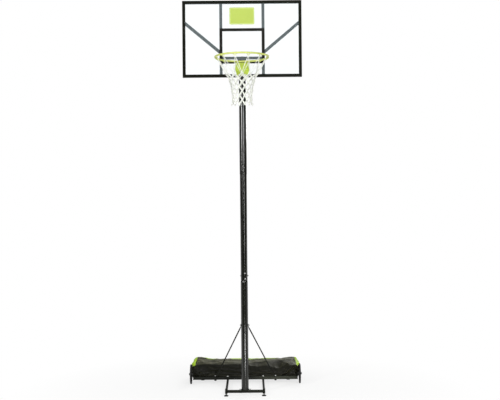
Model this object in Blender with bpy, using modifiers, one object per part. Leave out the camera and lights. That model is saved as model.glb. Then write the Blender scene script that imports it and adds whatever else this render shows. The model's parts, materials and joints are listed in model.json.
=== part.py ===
"""Portable basketball stand: a wheeled base with a sand bag, a three-piece mast and a clear board.

Metres, +Z up. The player faces the board from -Y. Every piece hangs from the stand_origin empty,
whose own frame has the mast's axis at x = 0, y = 0 and the floor at z = 0.
"""

import math

import bmesh
import bpy
from mathutils import Matrix, Vector

# Clearances
SEAT_GAP = 0.0003        # between two faces that bear on each other
HOLE_GAP = 0.0003        # round a bolt in its hole
SLIDE_GAP = 0.0003       # round the mast section inside its neighbour

# Mast
MAST_RADIUS = 0.033
MAST_WALL = 0.0012
MAST_SEAM = 1.064        # where the middle section starts, over the lower one's narrowed neck
MAST_NECK = 0.14         # length of that neck inside the middle section
MAST_SHOULDER = 0.013    # length of the taper below the seam
MAST_UPPER_BOTTOM = 2.045
MAST_SLEEVE = 0.155      # length of the middle section inside the upper one
MAST_TOP_ABOVE_RIM = 0.07
CAP_PLUG = 0.018
CAP_CROWN = 0.010

# Base frame
LEG_SPREAD = 0.349       # between the centre lines of the two side tubes
SIDE_TUBE_WIDTH = 0.020
SIDE_TUBE_HEIGHT = 0.025
SIDE_TUBE_BOTTOM = 0.015
CROSS_TUBE_SIZE = 0.025
CROSS_TUBE_BOTTOM = 0.030
RAIL_SIZE = 0.030
RAIL_REACH = 0.540       # from the mast's axis back to the front rail
TRAY_DEPTH = 0.330       # between the centre lines of the two rails
REAR_RAIL_SETBACK = 0.011  # of its ends, from the ends of the front rail
TUBE_WALL = 0.0015
TUBE_CORNER = 0.003

# Levelling feet
SOCKET_RADIUS = 0.011
SOCKET_BOTTOM = 0.024
SOCKET_HEIGHT = 0.044
STEM_RADIUS = 0.006
PAD_RADIUS = 0.021
PAD_RIM = 0.004
PAD_HEIGHT = 0.011

# Wheels
WHEEL_RADIUS = 0.095
WHEEL_WIDTH = 0.014
WHEEL_TRACK = 1.070      # between the middles of the two treads
TREAD_EDGE = 0.002
HUB_RADIUS = 0.015
HUB_OUTER = 0.014        # from the tread's middle out to the hub's outer end
HUB_LENGTH = 0.0335
AXLE_RADIUS = 0.006
BRACKET_PLATE = 0.004

# Sand bag
BAG_WHEEL_GAP = 0.004
BAG_HEIGHT = 0.134       # at the front edge of its top
BAG_REAR_RISE = 0.022    # of the rear edge above the front one
BAG_END_RISE = 0.014     # of the rear corners above the middle of that edge
BAG_CROWN = 0.010
BAG_BULGE = 0.007
BAG_SPREAD = 0.018       # of the ends behind the wheels
BAG_FRONT_SETBACK = 0.004
BAG_REAR_SETBACK = 0.052

# Struts
STRUT_RADIUS = 0.006
STRUT_TAB = 0.0015       # half the thickness of a flattened end
STRUT_TAB_WIDTH = 0.010  # half its width
STRUT_TOP = 0.652
STRUT_SPREAD = 0.592     # between the two lower bolts

# Board
RIM_HEIGHT = 3.050
BOARD_WIDTH = 1.090
BOARD_HEIGHT = 0.700
BOARD_BELOW_RIM = 0.120
FRAME_LIP = 0.027
FRAME_DEPTH = 0.026
FRAME_WALL = 0.002
PANEL_THICKNESS = 0.004
UPRIGHT_OFFSET = 0.193
UPRIGHT_WIDTH = 0.027
CROSS_BAR_HEIGHT = 0.024
CROSS_BAR_ABOVE_RIM = 0.056
BRACE_HEIGHT = 0.028
BRACE_OUTER_ABOVE_RIM = 0.374
BRACE_INNER_ABOVE_RIM = 0.113
TARGET_WIDTH = 0.413
TARGET_HEIGHT = 0.3225
TARGET_BAR = 0.027
TARGET_ABOVE_RIM = 0.004
TARGET_THICKNESS = 0.0006
HEAD_WIDTH = 0.080
HEAD_DEPTH = 0.021
HEAD_WALL = 0.003

# Rim and net
RIM_INNER = 0.225
RIM_ROD = 0.008
RIM_NECK = 0.150         # from the board's face to the inside of the rim
PLATE_WIDTH = 0.129
PLATE_FOOT = 0.076
PLATE_THICKNESS = 0.004
PLATE_BELOW_RIM = 0.107
PLATE_TAPER = 0.049
FLANGE_THICKNESS = 0.004
GUSSET_NOSE = 0.014
HOOD_THICKNESS = 0.0025
HOOD_STEP = 0.0006          # how far the hood stands over the gussets' slanted edges
WINDOW_WIDTH = 0.084        # the opening in the flange above the upper bolts
WINDOW_DEPTH = 0.060
WINDOW_MARGIN = 0.010
NET_LENGTH = 0.405
NET_WALL = 0.003
NET_WAIST = 0.079
NET_MOUTH_DROP = 0.010

# Fasteners
BOLT_RADIUS = 0.004
BOLT_HEAD = 0.0075
BOLT_HEAD_HEIGHT = 0.0055
NUT_HEIGHT = 0.0065
BOLT_TAIL = 0.002
FOOT_BOLT_SPREAD = 0.0822
RIM_BOLT_SPREAD = 0.056
RIM_BOLT_RISE = 0.078
RIM_BOLT_MARGIN = 0.021
NUT_BITE = 0.0009        # depth to which a welded nut sits into the mast's wall
HEIGHT_BOLT_RISES = {"upper": 0.075, "lower": 0.0265}  # above the lower end of the upper mast
JOINT_BOLT_RISES = {"upper": 0.0685, "lower": 0.0185}  # above the seam
JOINT_BOLT_TURN = 14.0   # degrees round the mast, from the front to the right
SIDE_BOLT_RISE = 0.046
SIDE_BOLT_TURN = -90.0

# Places that follow from the sizes above
RAIL_BOTTOM = SIDE_TUBE_BOTTOM + SIDE_TUBE_HEIGHT + SEAT_GAP
RAIL_TOP = RAIL_BOTTOM + RAIL_SIZE
BRACKET_WIDTH = RAIL_SIZE
LEG_X = LEG_SPREAD / 2
WHEEL_X = WHEEL_TRACK / 2
REAR_RAIL_Y = RAIL_REACH + TRAY_DEPTH
FOOT_PLATE_BOTTOM = CROSS_TUBE_BOTTOM + CROSS_TUBE_SIZE + SEAT_GAP
FOOT_PLATE = 0.004
MAST_BOTTOM = FOOT_PLATE_BOTTOM + FOOT_PLATE + SEAT_GAP
MIDDLE_RADIUS = MAST_RADIUS - MAST_WALL - SLIDE_GAP
BOARD_BACK_Y = -(MAST_RADIUS + SEAT_GAP + HEAD_DEPTH + SEAT_GAP)
BOARD_FRONT_Y = BOARD_BACK_Y - FRAME_DEPTH
PANEL_FRONT_Y = BOARD_FRONT_Y + FRAME_WALL + SEAT_GAP
PANEL_BACK_Y = PANEL_FRONT_Y + PANEL_THICKNESS
BAR_FRONT_Y = PANEL_BACK_Y + SEAT_GAP
BOARD_BOTTOM = RIM_HEIGHT - BOARD_BELOW_RIM
BOARD_TOP = BOARD_BOTTOM + BOARD_HEIGHT
RIM_Y = BOARD_FRONT_Y - RIM_NECK - RIM_INNER
RIM_OUTER = RIM_INNER + 2 * RIM_ROD
MAST_TOP = RIM_HEIGHT + MAST_TOP_ABOVE_RIM
FRONT_REACH = -RIM_Y + RIM_OUTER
REAR_REACH = REAR_RAIL_Y + RAIL_SIZE / 2
HUB_INNER_X = WHEEL_X + HUB_OUTER - HUB_LENGTH
RAIL_HALF = HUB_INNER_X - SEAT_GAP - BRACKET_PLATE - SEAT_GAP

# Directions in which a piece's own Z axis may point
UP = (0.0, 0.0, 0.0)
DOWN = (math.pi, 0.0, 0.0)
FORWARD = (math.pi / 2, 0.0, 0.0)
SIDEWAYS = (math.pi / 2, 0.0, math.pi / 2)


def clear_scene():
    for obj in list(bpy.data.objects):
        bpy.data.objects.remove(obj, do_unlink=True)


def make_collection(name):
    collection = bpy.data.collections.new(name)
    bpy.context.scene.collection.children.link(collection)
    return collection


def make_material(name, colour, roughness, metallic=0.0, alpha=1.0):
    material = bpy.data.materials.new(name)
    material.use_nodes = True
    shader = material.node_tree.nodes["Principled BSDF"]
    shader.inputs["Base Color"].default_value = (*colour, 1.0)
    shader.inputs["Roughness"].default_value = roughness
    shader.inputs["Metallic"].default_value = metallic
    shader.inputs["Alpha"].default_value = alpha
    material.diffuse_color = (*colour, alpha)
    return material


clear_scene()
stand = make_collection("portable_basketball_stand")
cutters = make_collection("cutters")
BLACK_STEEL = make_material("black_steel", (0.012, 0.012, 0.010), 0.38)
ZINC = make_material("zinc", (0.62, 0.62, 0.60), 0.32, metallic=1.0)
LIME_STEEL = make_material("lime_steel", (0.50, 0.66, 0.09), 0.42)
BLACK_PLASTIC = make_material("black_plastic", (0.014, 0.014, 0.014), 0.55)
CLEAR_PANEL = make_material("clear_panel", (0.86, 0.90, 0.90), 0.08, alpha=0.3)
BLACK_STRIP = make_material("black_strip", (0.010, 0.010, 0.009), 0.30)
BAG_FABRIC = make_material("bag_fabric", (0.030, 0.031, 0.026), 0.62)
WHITE_CORD = make_material("white_cord", (0.84, 0.84, 0.82), 0.80)


def add_object(name, data, parent, material, location=(0.0, 0.0, 0.0), rotation=UP):
    obj = bpy.data.objects.new(name, data)
    data.materials.append(material)
    stand.objects.link(obj)
    obj.parent = parent
    obj.location = location
    obj.rotation_euler = rotation
    return obj


def add_empty(name, parent=None, location=(0.0, 0.0, 0.0)):
    empty = bpy.data.objects.new(name, None)
    empty.empty_display_size = 0.1
    stand.objects.link(empty)
    empty.parent = parent
    empty.location = location
    return empty


def mesh_of(bm, name, sharp_degrees=35.0):
    bmesh.ops.recalc_face_normals(bm, faces=bm.faces)
    mesh = bpy.data.meshes.new(name)
    bm.to_mesh(mesh)
    bm.free()
    mesh.shade_smooth()
    mesh.set_sharp_from_angle(angle=math.radians(sharp_degrees))
    return mesh


def evaluated_mesh(obj, name):
    """A mesh of the object as its modifiers or its curve settings shape it."""
    graph = bpy.context.evaluated_depsgraph_get()
    graph.update()
    mesh = bpy.data.meshes.new_from_object(obj.evaluated_get(graph))
    mesh.name = name
    return mesh


def turned_mesh(name, profile, steps=32, closed=False):
    """Turns (radius, height) points, listed down the outer side, once round the Z axis."""
    points = [(radius, 0.0, height) for radius, height in profile]
    edges = [(i, i + 1) for i in range(len(points) - 1)]
    if closed:
        edges.append((len(points) - 1, 0))
    outline = bpy.data.meshes.new(name + "_profile")
    outline.from_pydata(points, edges, [])
    helper = bpy.data.objects.new(name + "_profile", outline)
    cutters.objects.link(helper)
    turn = helper.modifiers.new("Turn", "SCREW")
    turn.axis = "Z"
    turn.angle = 2 * math.pi
    turn.steps = steps
    turn.render_steps = steps
    turn.use_merge_vertices = True
    turn.merge_threshold = 0.00001
    turn.use_smooth_shade = True
    mesh = evaluated_mesh(helper, name)
    bpy.data.objects.remove(helper, do_unlink=True)
    mesh.set_sharp_from_angle(angle=math.radians(35.0))
    return mesh


def round_tube_mesh(name, radius, wall, bottom, top, steps=32):
    inner = radius - wall
    profile = [(radius, top), (radius, bottom), (inner, bottom), (inner, top)]
    return turned_mesh(name, profile, steps, closed=True)


def lofted_mesh(name, rings, hollow=False):
    """Closes a run of rings into one solid: by end faces or, when hollow, from the last to the first."""
    bm = bmesh.new()
    loops = [[bm.verts.new(point) for point in ring] for ring in rings]
    count = len(rings[0])
    pairs = list(zip(loops, loops[1:]))
    if hollow:
        pairs.append((loops[-1], loops[0]))
    else:
        bm.faces.new(loops[0])
        bm.faces.new(loops[-1])
    for near, far in pairs:
        for i in range(count):
            j = (i + 1) % count
            bm.faces.new((near[i], near[j], far[j], far[i]))
    return mesh_of(bm, name)


def square_tube(name, low, high, axis, parent, wall=TUBE_WALL, corner=TUBE_CORNER):
    """A square tube with open ends, given by the corners of its box and the axis it runs along."""
    low, high = Vector(low), Vector(high)
    size = high - low
    bm = bmesh.new()
    bmesh.ops.create_cube(bm, size=1.0)
    bmesh.ops.scale(bm, vec=size, verts=bm.verts)
    ends = [face for face in bm.faces if abs(face.normal[axis]) > 0.5]
    bmesh.ops.delete(bm, geom=ends, context="FACES_ONLY")
    long_edges = [e for e in bm.edges if not e.is_boundary]
    bmesh.ops.bevel(bm, geom=long_edges, offset=corner, segments=2, profile=0.5, affect="EDGES")
    mesh = mesh_of(bm, name)
    tube = add_object(name, mesh, parent, BLACK_STEEL, (low + high) / 2)
    thicken(tube, wall)
    return tube


def thicken(obj, wall):
    shell = obj.modifiers.new("Wall", "SOLIDIFY")
    shell.thickness = wall
    shell.offset = -1.0
    shell.use_even_offset = True


def circle_points(centre, radius, count=12):
    turns = [2 * math.pi * i / count for i in range(count)]
    return [(centre[0] + radius * math.cos(a), centre[1] + radius * math.sin(a)) for a in turns]


def arc_points(centre, radius, start_degrees, end_degrees, count):
    points = []
    for i in range(count + 1):
        angle = math.radians(start_degrees + (end_degrees - start_degrees) * i / count)
        points.append((centre[0] + radius * math.cos(angle), centre[1] + radius * math.sin(angle)))
    return points


def plate_curve(name, outline, thickness, holes=()):
    """A flat plate: an outline with round or straight-sided holes, centred on its own plane."""
    curve = bpy.data.curves.new(name, "CURVE")
    curve.dimensions = "2D"
    curve.fill_mode = "BOTH"
    curve.extrude = thickness / 2
    for loop in [outline, *holes]:
        spline = curve.splines.new("POLY")
        spline.points.add(len(loop) - 1)
        for point, (x, y) in zip(spline.points, loop):
            point.co = (x, y, 0.0, 1.0)
        spline.use_cyclic_u = True
    return curve


def plate_mesh(name, outline, thickness, holes=()):
    """The same plate as a welded mesh, for pieces that are cut or joined."""
    helper = bpy.data.objects.new(name + "_outline", plate_curve(name, outline, thickness, holes))
    cutters.objects.link(helper)
    mesh = evaluated_mesh(helper, name)
    bpy.data.objects.remove(helper, do_unlink=True)
    bm = bmesh.new()
    bm.from_mesh(mesh)
    bmesh.ops.remove_doubles(bm, verts=bm.verts, dist=0.000001)
    bpy.data.meshes.remove(mesh)
    return mesh_of(bm, name)


def rectangle(width, height, centre=(0.0, 0.0)):
    x, y = centre
    w, h = width / 2, height / 2
    return [(x - w, y - h), (x + w, y - h), (x + w, y + h), (x - w, y + h)]


def helper_object(name, mesh, parent, location=(0.0, 0.0, 0.0), rotation=UP):
    helper = bpy.data.objects.new(name, mesh)
    cutters.objects.link(helper)
    helper.parent = parent
    helper.location = location
    helper.rotation_euler = rotation
    helper.hide_render = True
    helper.display_type = "WIRE"
    return helper


def combine(obj, helper, operation):
    step = obj.modifiers.new(helper.name, "BOOLEAN")
    step.operation = operation
    step.object = helper


def drill(obj, holes, radius):
    """Bores round holes, each a (start, end) pair of points in the frame of the object's parent."""
    bm = bmesh.new()
    for start, end in holes:
        start, end = Vector(start), Vector(end)
        along = end - start
        turn = along.to_track_quat("Z", "Y").to_matrix().to_4x4()
        matrix = Matrix.Translation((start + end) / 2) @ turn
        bmesh.ops.create_cone(
            bm, cap_ends=True, segments=12, radius1=radius, radius2=radius,
            depth=along.length, matrix=matrix,
        )
    mesh = mesh_of(bm, obj.name + "_holes")
    combine(obj, helper_object(obj.name + "_holes", mesh, obj.parent), "DIFFERENCE")


def hexagon_ring(radius, height):
    """Twelve points on a hexagon, so that it lofts into a round ring of twelve."""
    points = []
    for i in range(12):
        reach = radius if i % 2 == 0 else radius * math.cos(math.pi / 6)
        points.append((reach * math.cos(i * math.pi / 6), reach * math.sin(i * math.pi / 6), height))
    return points


def round_ring(radius, height):
    return [(x, y, height) for x, y in circle_points((0.0, 0.0), radius, 12)]


def bolt(name, parent, location, rotation, grip, radius=BOLT_RADIUS, head=BOLT_HEAD, nut=True):
    """A hexagon bolt along its own -Z: the head's underside is at the origin, the nut at the grip."""
    rings = [
        hexagon_ring(head, BOLT_HEAD_HEIGHT),
        hexagon_ring(head, 0.0),
        round_ring(radius, 0.0),
        round_ring(radius, -grip),
    ]
    if nut:
        rings += [
            hexagon_ring(head, -grip),
            hexagon_ring(head, -grip - NUT_HEIGHT),
            round_ring(radius, -grip - NUT_HEIGHT),
            round_ring(radius, -grip - NUT_HEIGHT - BOLT_TAIL),
        ]
    return add_object(name, lofted_mesh(name, rings), parent, ZINC, location, rotation)


origin = add_empty("stand_origin", location=(0.0, (FRONT_REACH - REAR_REACH) / 2, 0.0))
SIDES = (("left", -1), ("right", 1))


def make_front_frame():
    """The front cross tube, the two side tubes and the sockets of the levelling feet."""
    inner = LEG_X - SOCKET_RADIUS - SEAT_GAP
    half = CROSS_TUBE_SIZE / 2
    low = (-inner, -half, CROSS_TUBE_BOTTOM)
    high = (inner, half, CROSS_TUBE_BOTTOM + CROSS_TUBE_SIZE)
    cross = square_tube("front_cross_tube", low, high, 0, origin)
    holes = [
        ((x, 0.0, CROSS_TUBE_BOTTOM - 0.01), (x, 0.0, FOOT_PLATE_BOTTOM + 0.01))
        for x in (-FOOT_BOLT_SPREAD / 2, FOOT_BOLT_SPREAD / 2)
    ]
    drill(cross, holes, BOLT_RADIUS + HOLE_GAP)
    for side, sign in SIDES:
        x = sign * LEG_X
        low = (x - SIDE_TUBE_WIDTH / 2, SOCKET_RADIUS + SEAT_GAP, SIDE_TUBE_BOTTOM)
        high = (x + SIDE_TUBE_WIDTH / 2, REAR_REACH, SIDE_TUBE_BOTTOM + SIDE_TUBE_HEIGHT)
        tube = square_tube("side_tube_" + side, low, high, 1, origin)
        bottom, top = SIDE_TUBE_BOTTOM - 0.01, RAIL_TOP
        drill(tube, [((x, RAIL_REACH, bottom), (x, RAIL_REACH, top))], BOLT_RADIUS + HOLE_GAP)
        bore = SOCKET_RADIUS - STEM_RADIUS - HOLE_GAP
        mesh = round_tube_mesh("foot_socket_" + side, SOCKET_RADIUS, bore, 0.0, SOCKET_HEIGHT, 24)
        add_object("foot_socket_" + side, mesh, origin, BLACK_STEEL, (x, 0.0, SOCKET_BOTTOM))


def make_levelling_feet():
    profile = [
        (0.0, SOCKET_BOTTOM + SOCKET_HEIGHT - 0.004),
        (STEM_RADIUS, SOCKET_BOTTOM + SOCKET_HEIGHT - 0.004),
        (STEM_RADIUS, PAD_HEIGHT),
        (STEM_RADIUS + 0.003, PAD_HEIGHT),
        (PAD_RADIUS, PAD_RIM),
        (PAD_RADIUS, 0.0),
        (0.0, 0.0),
    ]
    for side, sign in SIDES:
        name = "levelling_foot_" + side
        mesh = turned_mesh(name, profile, 24)
        add_object(name, mesh, origin, BLACK_PLASTIC, (sign * LEG_X, 0.0, 0.0))


def make_rails():
    """The front rail between the wheels, the rear rail, and the flat bars that carry the bag."""
    half = RAIL_SIZE / 2
    low = (-RAIL_HALF, RAIL_REACH - half, RAIL_BOTTOM)
    high = (RAIL_HALF, RAIL_REACH + half, RAIL_TOP)
    front = square_tube("front_rail", low, high, 0, origin)
    xs = [sign * x for x in (LEG_X, STRUT_SPREAD / 2) for sign in (-1, 1)]
    below, above = RAIL_BOTTOM - 0.01, RAIL_TOP + 0.01
    holes = [((x, RAIL_REACH, below), (x, RAIL_REACH, above)) for x in xs]
    drill(front, holes, BOLT_RADIUS + HOLE_GAP)
    reach = RAIL_HALF - REAR_RAIL_SETBACK
    low = (-reach, REAR_RAIL_Y - half, RAIL_BOTTOM)
    high = (reach, REAR_RAIL_Y + half, RAIL_TOP)
    square_tube("rear_rail", low, high, 0, origin)
    bar_top = RAIL_BOTTOM - SEAT_GAP
    bar_thickness, bar_width = 0.004, 0.030
    outline = rectangle(bar_width, REAR_REACH - RAIL_REACH + half)
    centre_y = (RAIL_REACH - half + REAR_REACH) / 2
    for side, sign in SIDES:
        name = "bag_bar_" + side
        curve = plate_curve(name, outline, bar_thickness)
        place = (sign * reach * 0.84, centre_y, bar_top - bar_thickness / 2)
        add_object(name, curve, origin, BLACK_STEEL, place)


def make_wheel_mounts():
    """Plates on the ends of the front rail, with the bolts that the wheels turn on."""
    half = BRACKET_WIDTH / 2
    outline = [(-half, RAIL_BOTTOM - 0.001), (half, RAIL_BOTTOM - 0.001)]
    outline += arc_points((0.0, WHEEL_RADIUS), half, 0.0, 180.0, 10)
    hole = circle_points((0.0, WHEEL_RADIUS), AXLE_RADIUS + HOLE_GAP)
    inner_face = RAIL_HALF + SEAT_GAP
    hub_outer = WHEEL_X + HUB_OUTER
    for side, sign in SIDES:
        name = "wheel_bracket_" + side
        curve = plate_curve(name, outline, BRACKET_PLATE, [hole])
        place = (sign * (inner_face + BRACKET_PLATE / 2), RAIL_REACH, 0.0)
        add_object(name, curve, origin, BLACK_STEEL, place, SIDEWAYS)
        grip = hub_outer + SEAT_GAP - inner_face + SEAT_GAP
        turn = (0.0, sign * math.pi / 2, 0.0)
        start = (sign * (hub_outer + SEAT_GAP), RAIL_REACH, WHEEL_RADIUS)
        bolt("axle_bolt_" + side, origin, start, turn, grip, AXLE_RADIUS, AXLE_RADIUS + 0.004)


def make_wheels():
    """Moulded wheels: a tread, a thin web with five windows, and a hub that runs on the axle bolt."""
    half = WHEEL_WIDTH / 2
    bore = AXLE_RADIUS + HOLE_GAP
    rim_inner = WHEEL_RADIUS - 0.017
    web = 0.003
    hub_low = HUB_INNER_X - WHEEL_X
    profile = [
        (HUB_RADIUS, HUB_OUTER),
        (HUB_RADIUS, web),
        (rim_inner, web),
        (rim_inner, half),
        (WHEEL_RADIUS - TREAD_EDGE, half),
        (WHEEL_RADIUS, half - TREAD_EDGE),
        (WHEEL_RADIUS, -half + TREAD_EDGE),
        (WHEEL_RADIUS - TREAD_EDGE, -half),
        (rim_inner, -half),
        (rim_inner, -web),
        (HUB_RADIUS, -web),
        (HUB_RADIUS, hub_low),
        (bore, hub_low),
        (bore, HUB_OUTER),
    ]
    window_middle = (HUB_RADIUS + rim_inner) / 2
    window_radius = (rim_inner - HUB_RADIUS) * 0.36
    for side, sign in SIDES:
        name = "wheel_" + side
        mesh = turned_mesh(name, profile, 32, closed=True)
        turn = (0.0, sign * math.pi / 2, 0.0)
        place = (sign * WHEEL_X, RAIL_REACH, WHEEL_RADIUS)
        wheel = add_object(name, mesh, origin, BLACK_PLASTIC, place, turn)
        bm = bmesh.new()
        for i in range(5):
            angle = 2 * math.pi * i / 5
            centre = (window_middle * math.cos(angle), window_middle * math.sin(angle), 0.0)
            bmesh.ops.create_cone(
                bm, cap_ends=True, segments=10, radius1=window_radius, radius2=window_radius,
                depth=4 * web, matrix=Matrix.Translation(centre),
            )
        windows = helper_object(name + "_windows", mesh_of(bm, name + "_windows"), origin, place, turn)
        combine(wheel, windows, "DIFFERENCE")


def make_rail_bolts():
    grip = RAIL_TOP + SEAT_GAP - SIDE_TUBE_BOTTOM + SEAT_GAP
    for side, sign in SIDES:
        place = (sign * LEG_X, RAIL_REACH, RAIL_TOP + SEAT_GAP)
        bolt("rail_bolt_" + side, origin, place, UP, grip)


def make_mast_foot():
    """A plate with a spigot that stands inside the mast, bolted down on the cross tube."""
    outline = rectangle(FOOT_BOLT_SPREAD + 0.020, 2 * MAST_RADIUS)
    holes = [
        circle_points((sign * FOOT_BOLT_SPREAD / 2, 0.0), BOLT_RADIUS + HOLE_GAP) for sign in (-1, 1)
    ]
    mesh = plate_mesh("mast_foot", outline, FOOT_PLATE, holes)
    place = (0.0, 0.0, FOOT_PLATE_BOTTOM + FOOT_PLATE / 2)
    foot = add_object("mast_foot", mesh, origin, BLACK_STEEL, place)
    spigot_radius = MAST_RADIUS - MAST_WALL - SLIDE_GAP
    spigot = round_tube_mesh("mast_spigot", spigot_radius, 0.003, 0.0, 0.045)
    helper = helper_object("mast_spigot", spigot, origin, (0.0, 0.0, FOOT_PLATE_BOTTOM + 0.001))
    combine(foot, helper, "UNION")
    grip = FOOT_PLATE_BOTTOM + FOOT_PLATE + SEAT_GAP - CROSS_TUBE_BOTTOM + SEAT_GAP
    for side, sign in SIDES:
        place = (sign * FOOT_BOLT_SPREAD / 2, 0.0, CROSS_TUBE_BOTTOM - SEAT_GAP)
        bolt("foot_bolt_" + side, origin, place, DOWN, grip)


def from_mast(reach, turn_degrees, height):
    """A point beside the mast's axis, turned round it from the front to the right."""
    turn = math.radians(turn_degrees)
    return (reach * math.sin(turn), -reach * math.cos(turn), height)


def through_mast(turn_degrees, height):
    reach = MAST_RADIUS + 0.01
    return (from_mast(reach, turn_degrees, height), from_mast(-reach, turn_degrees, height))


def make_mast():
    """The lower tube with its narrowed neck, and the middle tube that stands over it, bolted through."""
    joint = [
        ("joint_bolt_" + place, JOINT_BOLT_TURN, MAST_SEAM + rise)
        for place, rise in JOINT_BOLT_RISES.items()
    ]
    joint.append(("joint_bolt_side", SIDE_BOLT_TURN, MAST_SEAM + SIDE_BOLT_RISE))
    joint_holes = [through_mast(turn, height) for _, turn, height in joint]
    neck = MIDDLE_RADIUS - MAST_WALL - SLIDE_GAP
    shoulder_top = MAST_SEAM - SEAT_GAP
    neck_top = MAST_SEAM + MAST_NECK
    profile = [
        (neck, neck_top),
        (neck, shoulder_top),
        (MAST_RADIUS, shoulder_top - MAST_SHOULDER),
        (MAST_RADIUS, MAST_BOTTOM),
        (MAST_RADIUS - MAST_WALL, MAST_BOTTOM),
        (MAST_RADIUS - MAST_WALL, shoulder_top - MAST_SHOULDER),
        (neck - MAST_WALL, shoulder_top),
        (neck - MAST_WALL, neck_top),
    ]
    mesh = turned_mesh("mast_lower", profile, closed=True)
    lower = add_object("mast_lower", mesh, origin, BLACK_STEEL)
    drill(lower, [*joint_holes, through_mast(SIDE_BOLT_TURN, STRUT_TOP)], BOLT_RADIUS + HOLE_GAP)
    top = MAST_UPPER_BOTTOM + MAST_SLEEVE
    mesh = round_tube_mesh("mast_middle", MIDDLE_RADIUS, MAST_WALL, MAST_SEAM, top)
    middle = add_object("mast_middle", mesh, origin, BLACK_STEEL)
    drill(middle, joint_holes, BOLT_RADIUS + HOLE_GAP)
    reach = MIDDLE_RADIUS + SEAT_GAP
    for name, turn, height in joint:
        rotation = (math.pi / 2, 0.0, math.radians(turn))
        bolt(name, origin, from_mast(reach, turn, height), rotation, 2 * reach)


def flat_ring(centre, wide, thin, half_width, half_thickness):
    """Twelve points of an oval section; equal halves make it round."""
    points = []
    for i in range(12):
        angle = i * math.pi / 6
        reach = wide * half_width * math.cos(angle) + thin * half_thickness * math.sin(angle)
        points.append(centre + reach)
    return points


def nearest_start(ring, other):
    """Turns a ring's list of points so that it lofts to the other with the least twist."""
    def spread(shift):
        return sum((ring[(i + shift) % 12] - other[i]).length for i in range(12))
    best = min(range(12), key=spread)
    return [ring[(i + best) % 12] for i in range(12)]


def strut_mesh(name, sign):
    """A round rod whose ends are pressed flat: upright on the mast, level on the front rail."""
    lug = Vector((sign * (MAST_RADIUS + SEAT_GAP + STRUT_TAB), 0.0, STRUT_TOP))
    seat = Vector((sign * STRUT_SPREAD / 2, RAIL_REACH, RAIL_TOP + SEAT_GAP + STRUT_TAB))
    fall = Vector((0.0, seat.y - lug.y, seat.z - lug.z)).normalized()
    run = Vector((seat.x - lug.x, seat.y - lug.y, 0.0)).normalized()
    tab_tip, tab_root, neck = 0.012, 0.022, 0.035
    upper_root = lug + fall * tab_root
    lower_root = seat - run * tab_root
    along = (lower_root - upper_root).normalized()
    thin_upper, thin_lower = Vector((1.0, 0.0, 0.0)), Vector((0.0, 0.0, 1.0))
    wide_upper, wide_lower = fall.cross(thin_upper), run.cross(thin_lower)

    def flat(centre, wide, thin):
        return flat_ring(centre, wide, thin, STRUT_TAB_WIDTH, STRUT_TAB)

    def round_section(centre, wide):
        wide = (wide - along * wide.dot(along)).normalized()
        return flat_ring(centre, wide, wide.cross(along), STRUT_RADIUS, STRUT_RADIUS)

    rings = [flat(lug - fall * tab_tip, wide_upper, thin_upper)]
    rings.append(flat(upper_root, wide_upper, thin_upper))
    rings.append(round_section(upper_root + along * neck, wide_upper))
    rings.append(round_section(lower_root - along * neck, wide_lower))
    rings.append(flat(lower_root, wide_lower, thin_lower))
    rings.append(flat(seat + run * tab_tip, wide_lower, thin_lower))
    for i in range(1, len(rings)):
        rings[i] = nearest_start(rings[i], rings[i - 1])
    return lofted_mesh(name, rings)


def make_struts():
    tab = 2 * STRUT_TAB + 2 * SEAT_GAP
    reach = MAST_RADIUS + tab
    upper_hole = through_mast(SIDE_BOLT_TURN, STRUT_TOP)
    for side, sign in SIDES:
        name = "strut_" + side
        strut = add_object(name, strut_mesh(name, sign), origin, BLACK_STEEL)
        x = sign * STRUT_SPREAD / 2
        lower_hole = ((x, RAIL_REACH, RAIL_BOTTOM), (x, RAIL_REACH, RAIL_TOP + 0.02))
        drill(strut, [upper_hole, lower_hole], BOLT_RADIUS + HOLE_GAP)
        grip = RAIL_TOP + tab - RAIL_BOTTOM + SEAT_GAP
        bolt("strut_foot_bolt_" + side, origin, (x, RAIL_REACH, RAIL_TOP + tab), UP, grip)
    bolt("strut_top_bolt", origin, (-reach, 0.0, STRUT_TOP), (0.0, -math.pi / 2, 0.0), 2 * reach)


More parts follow.
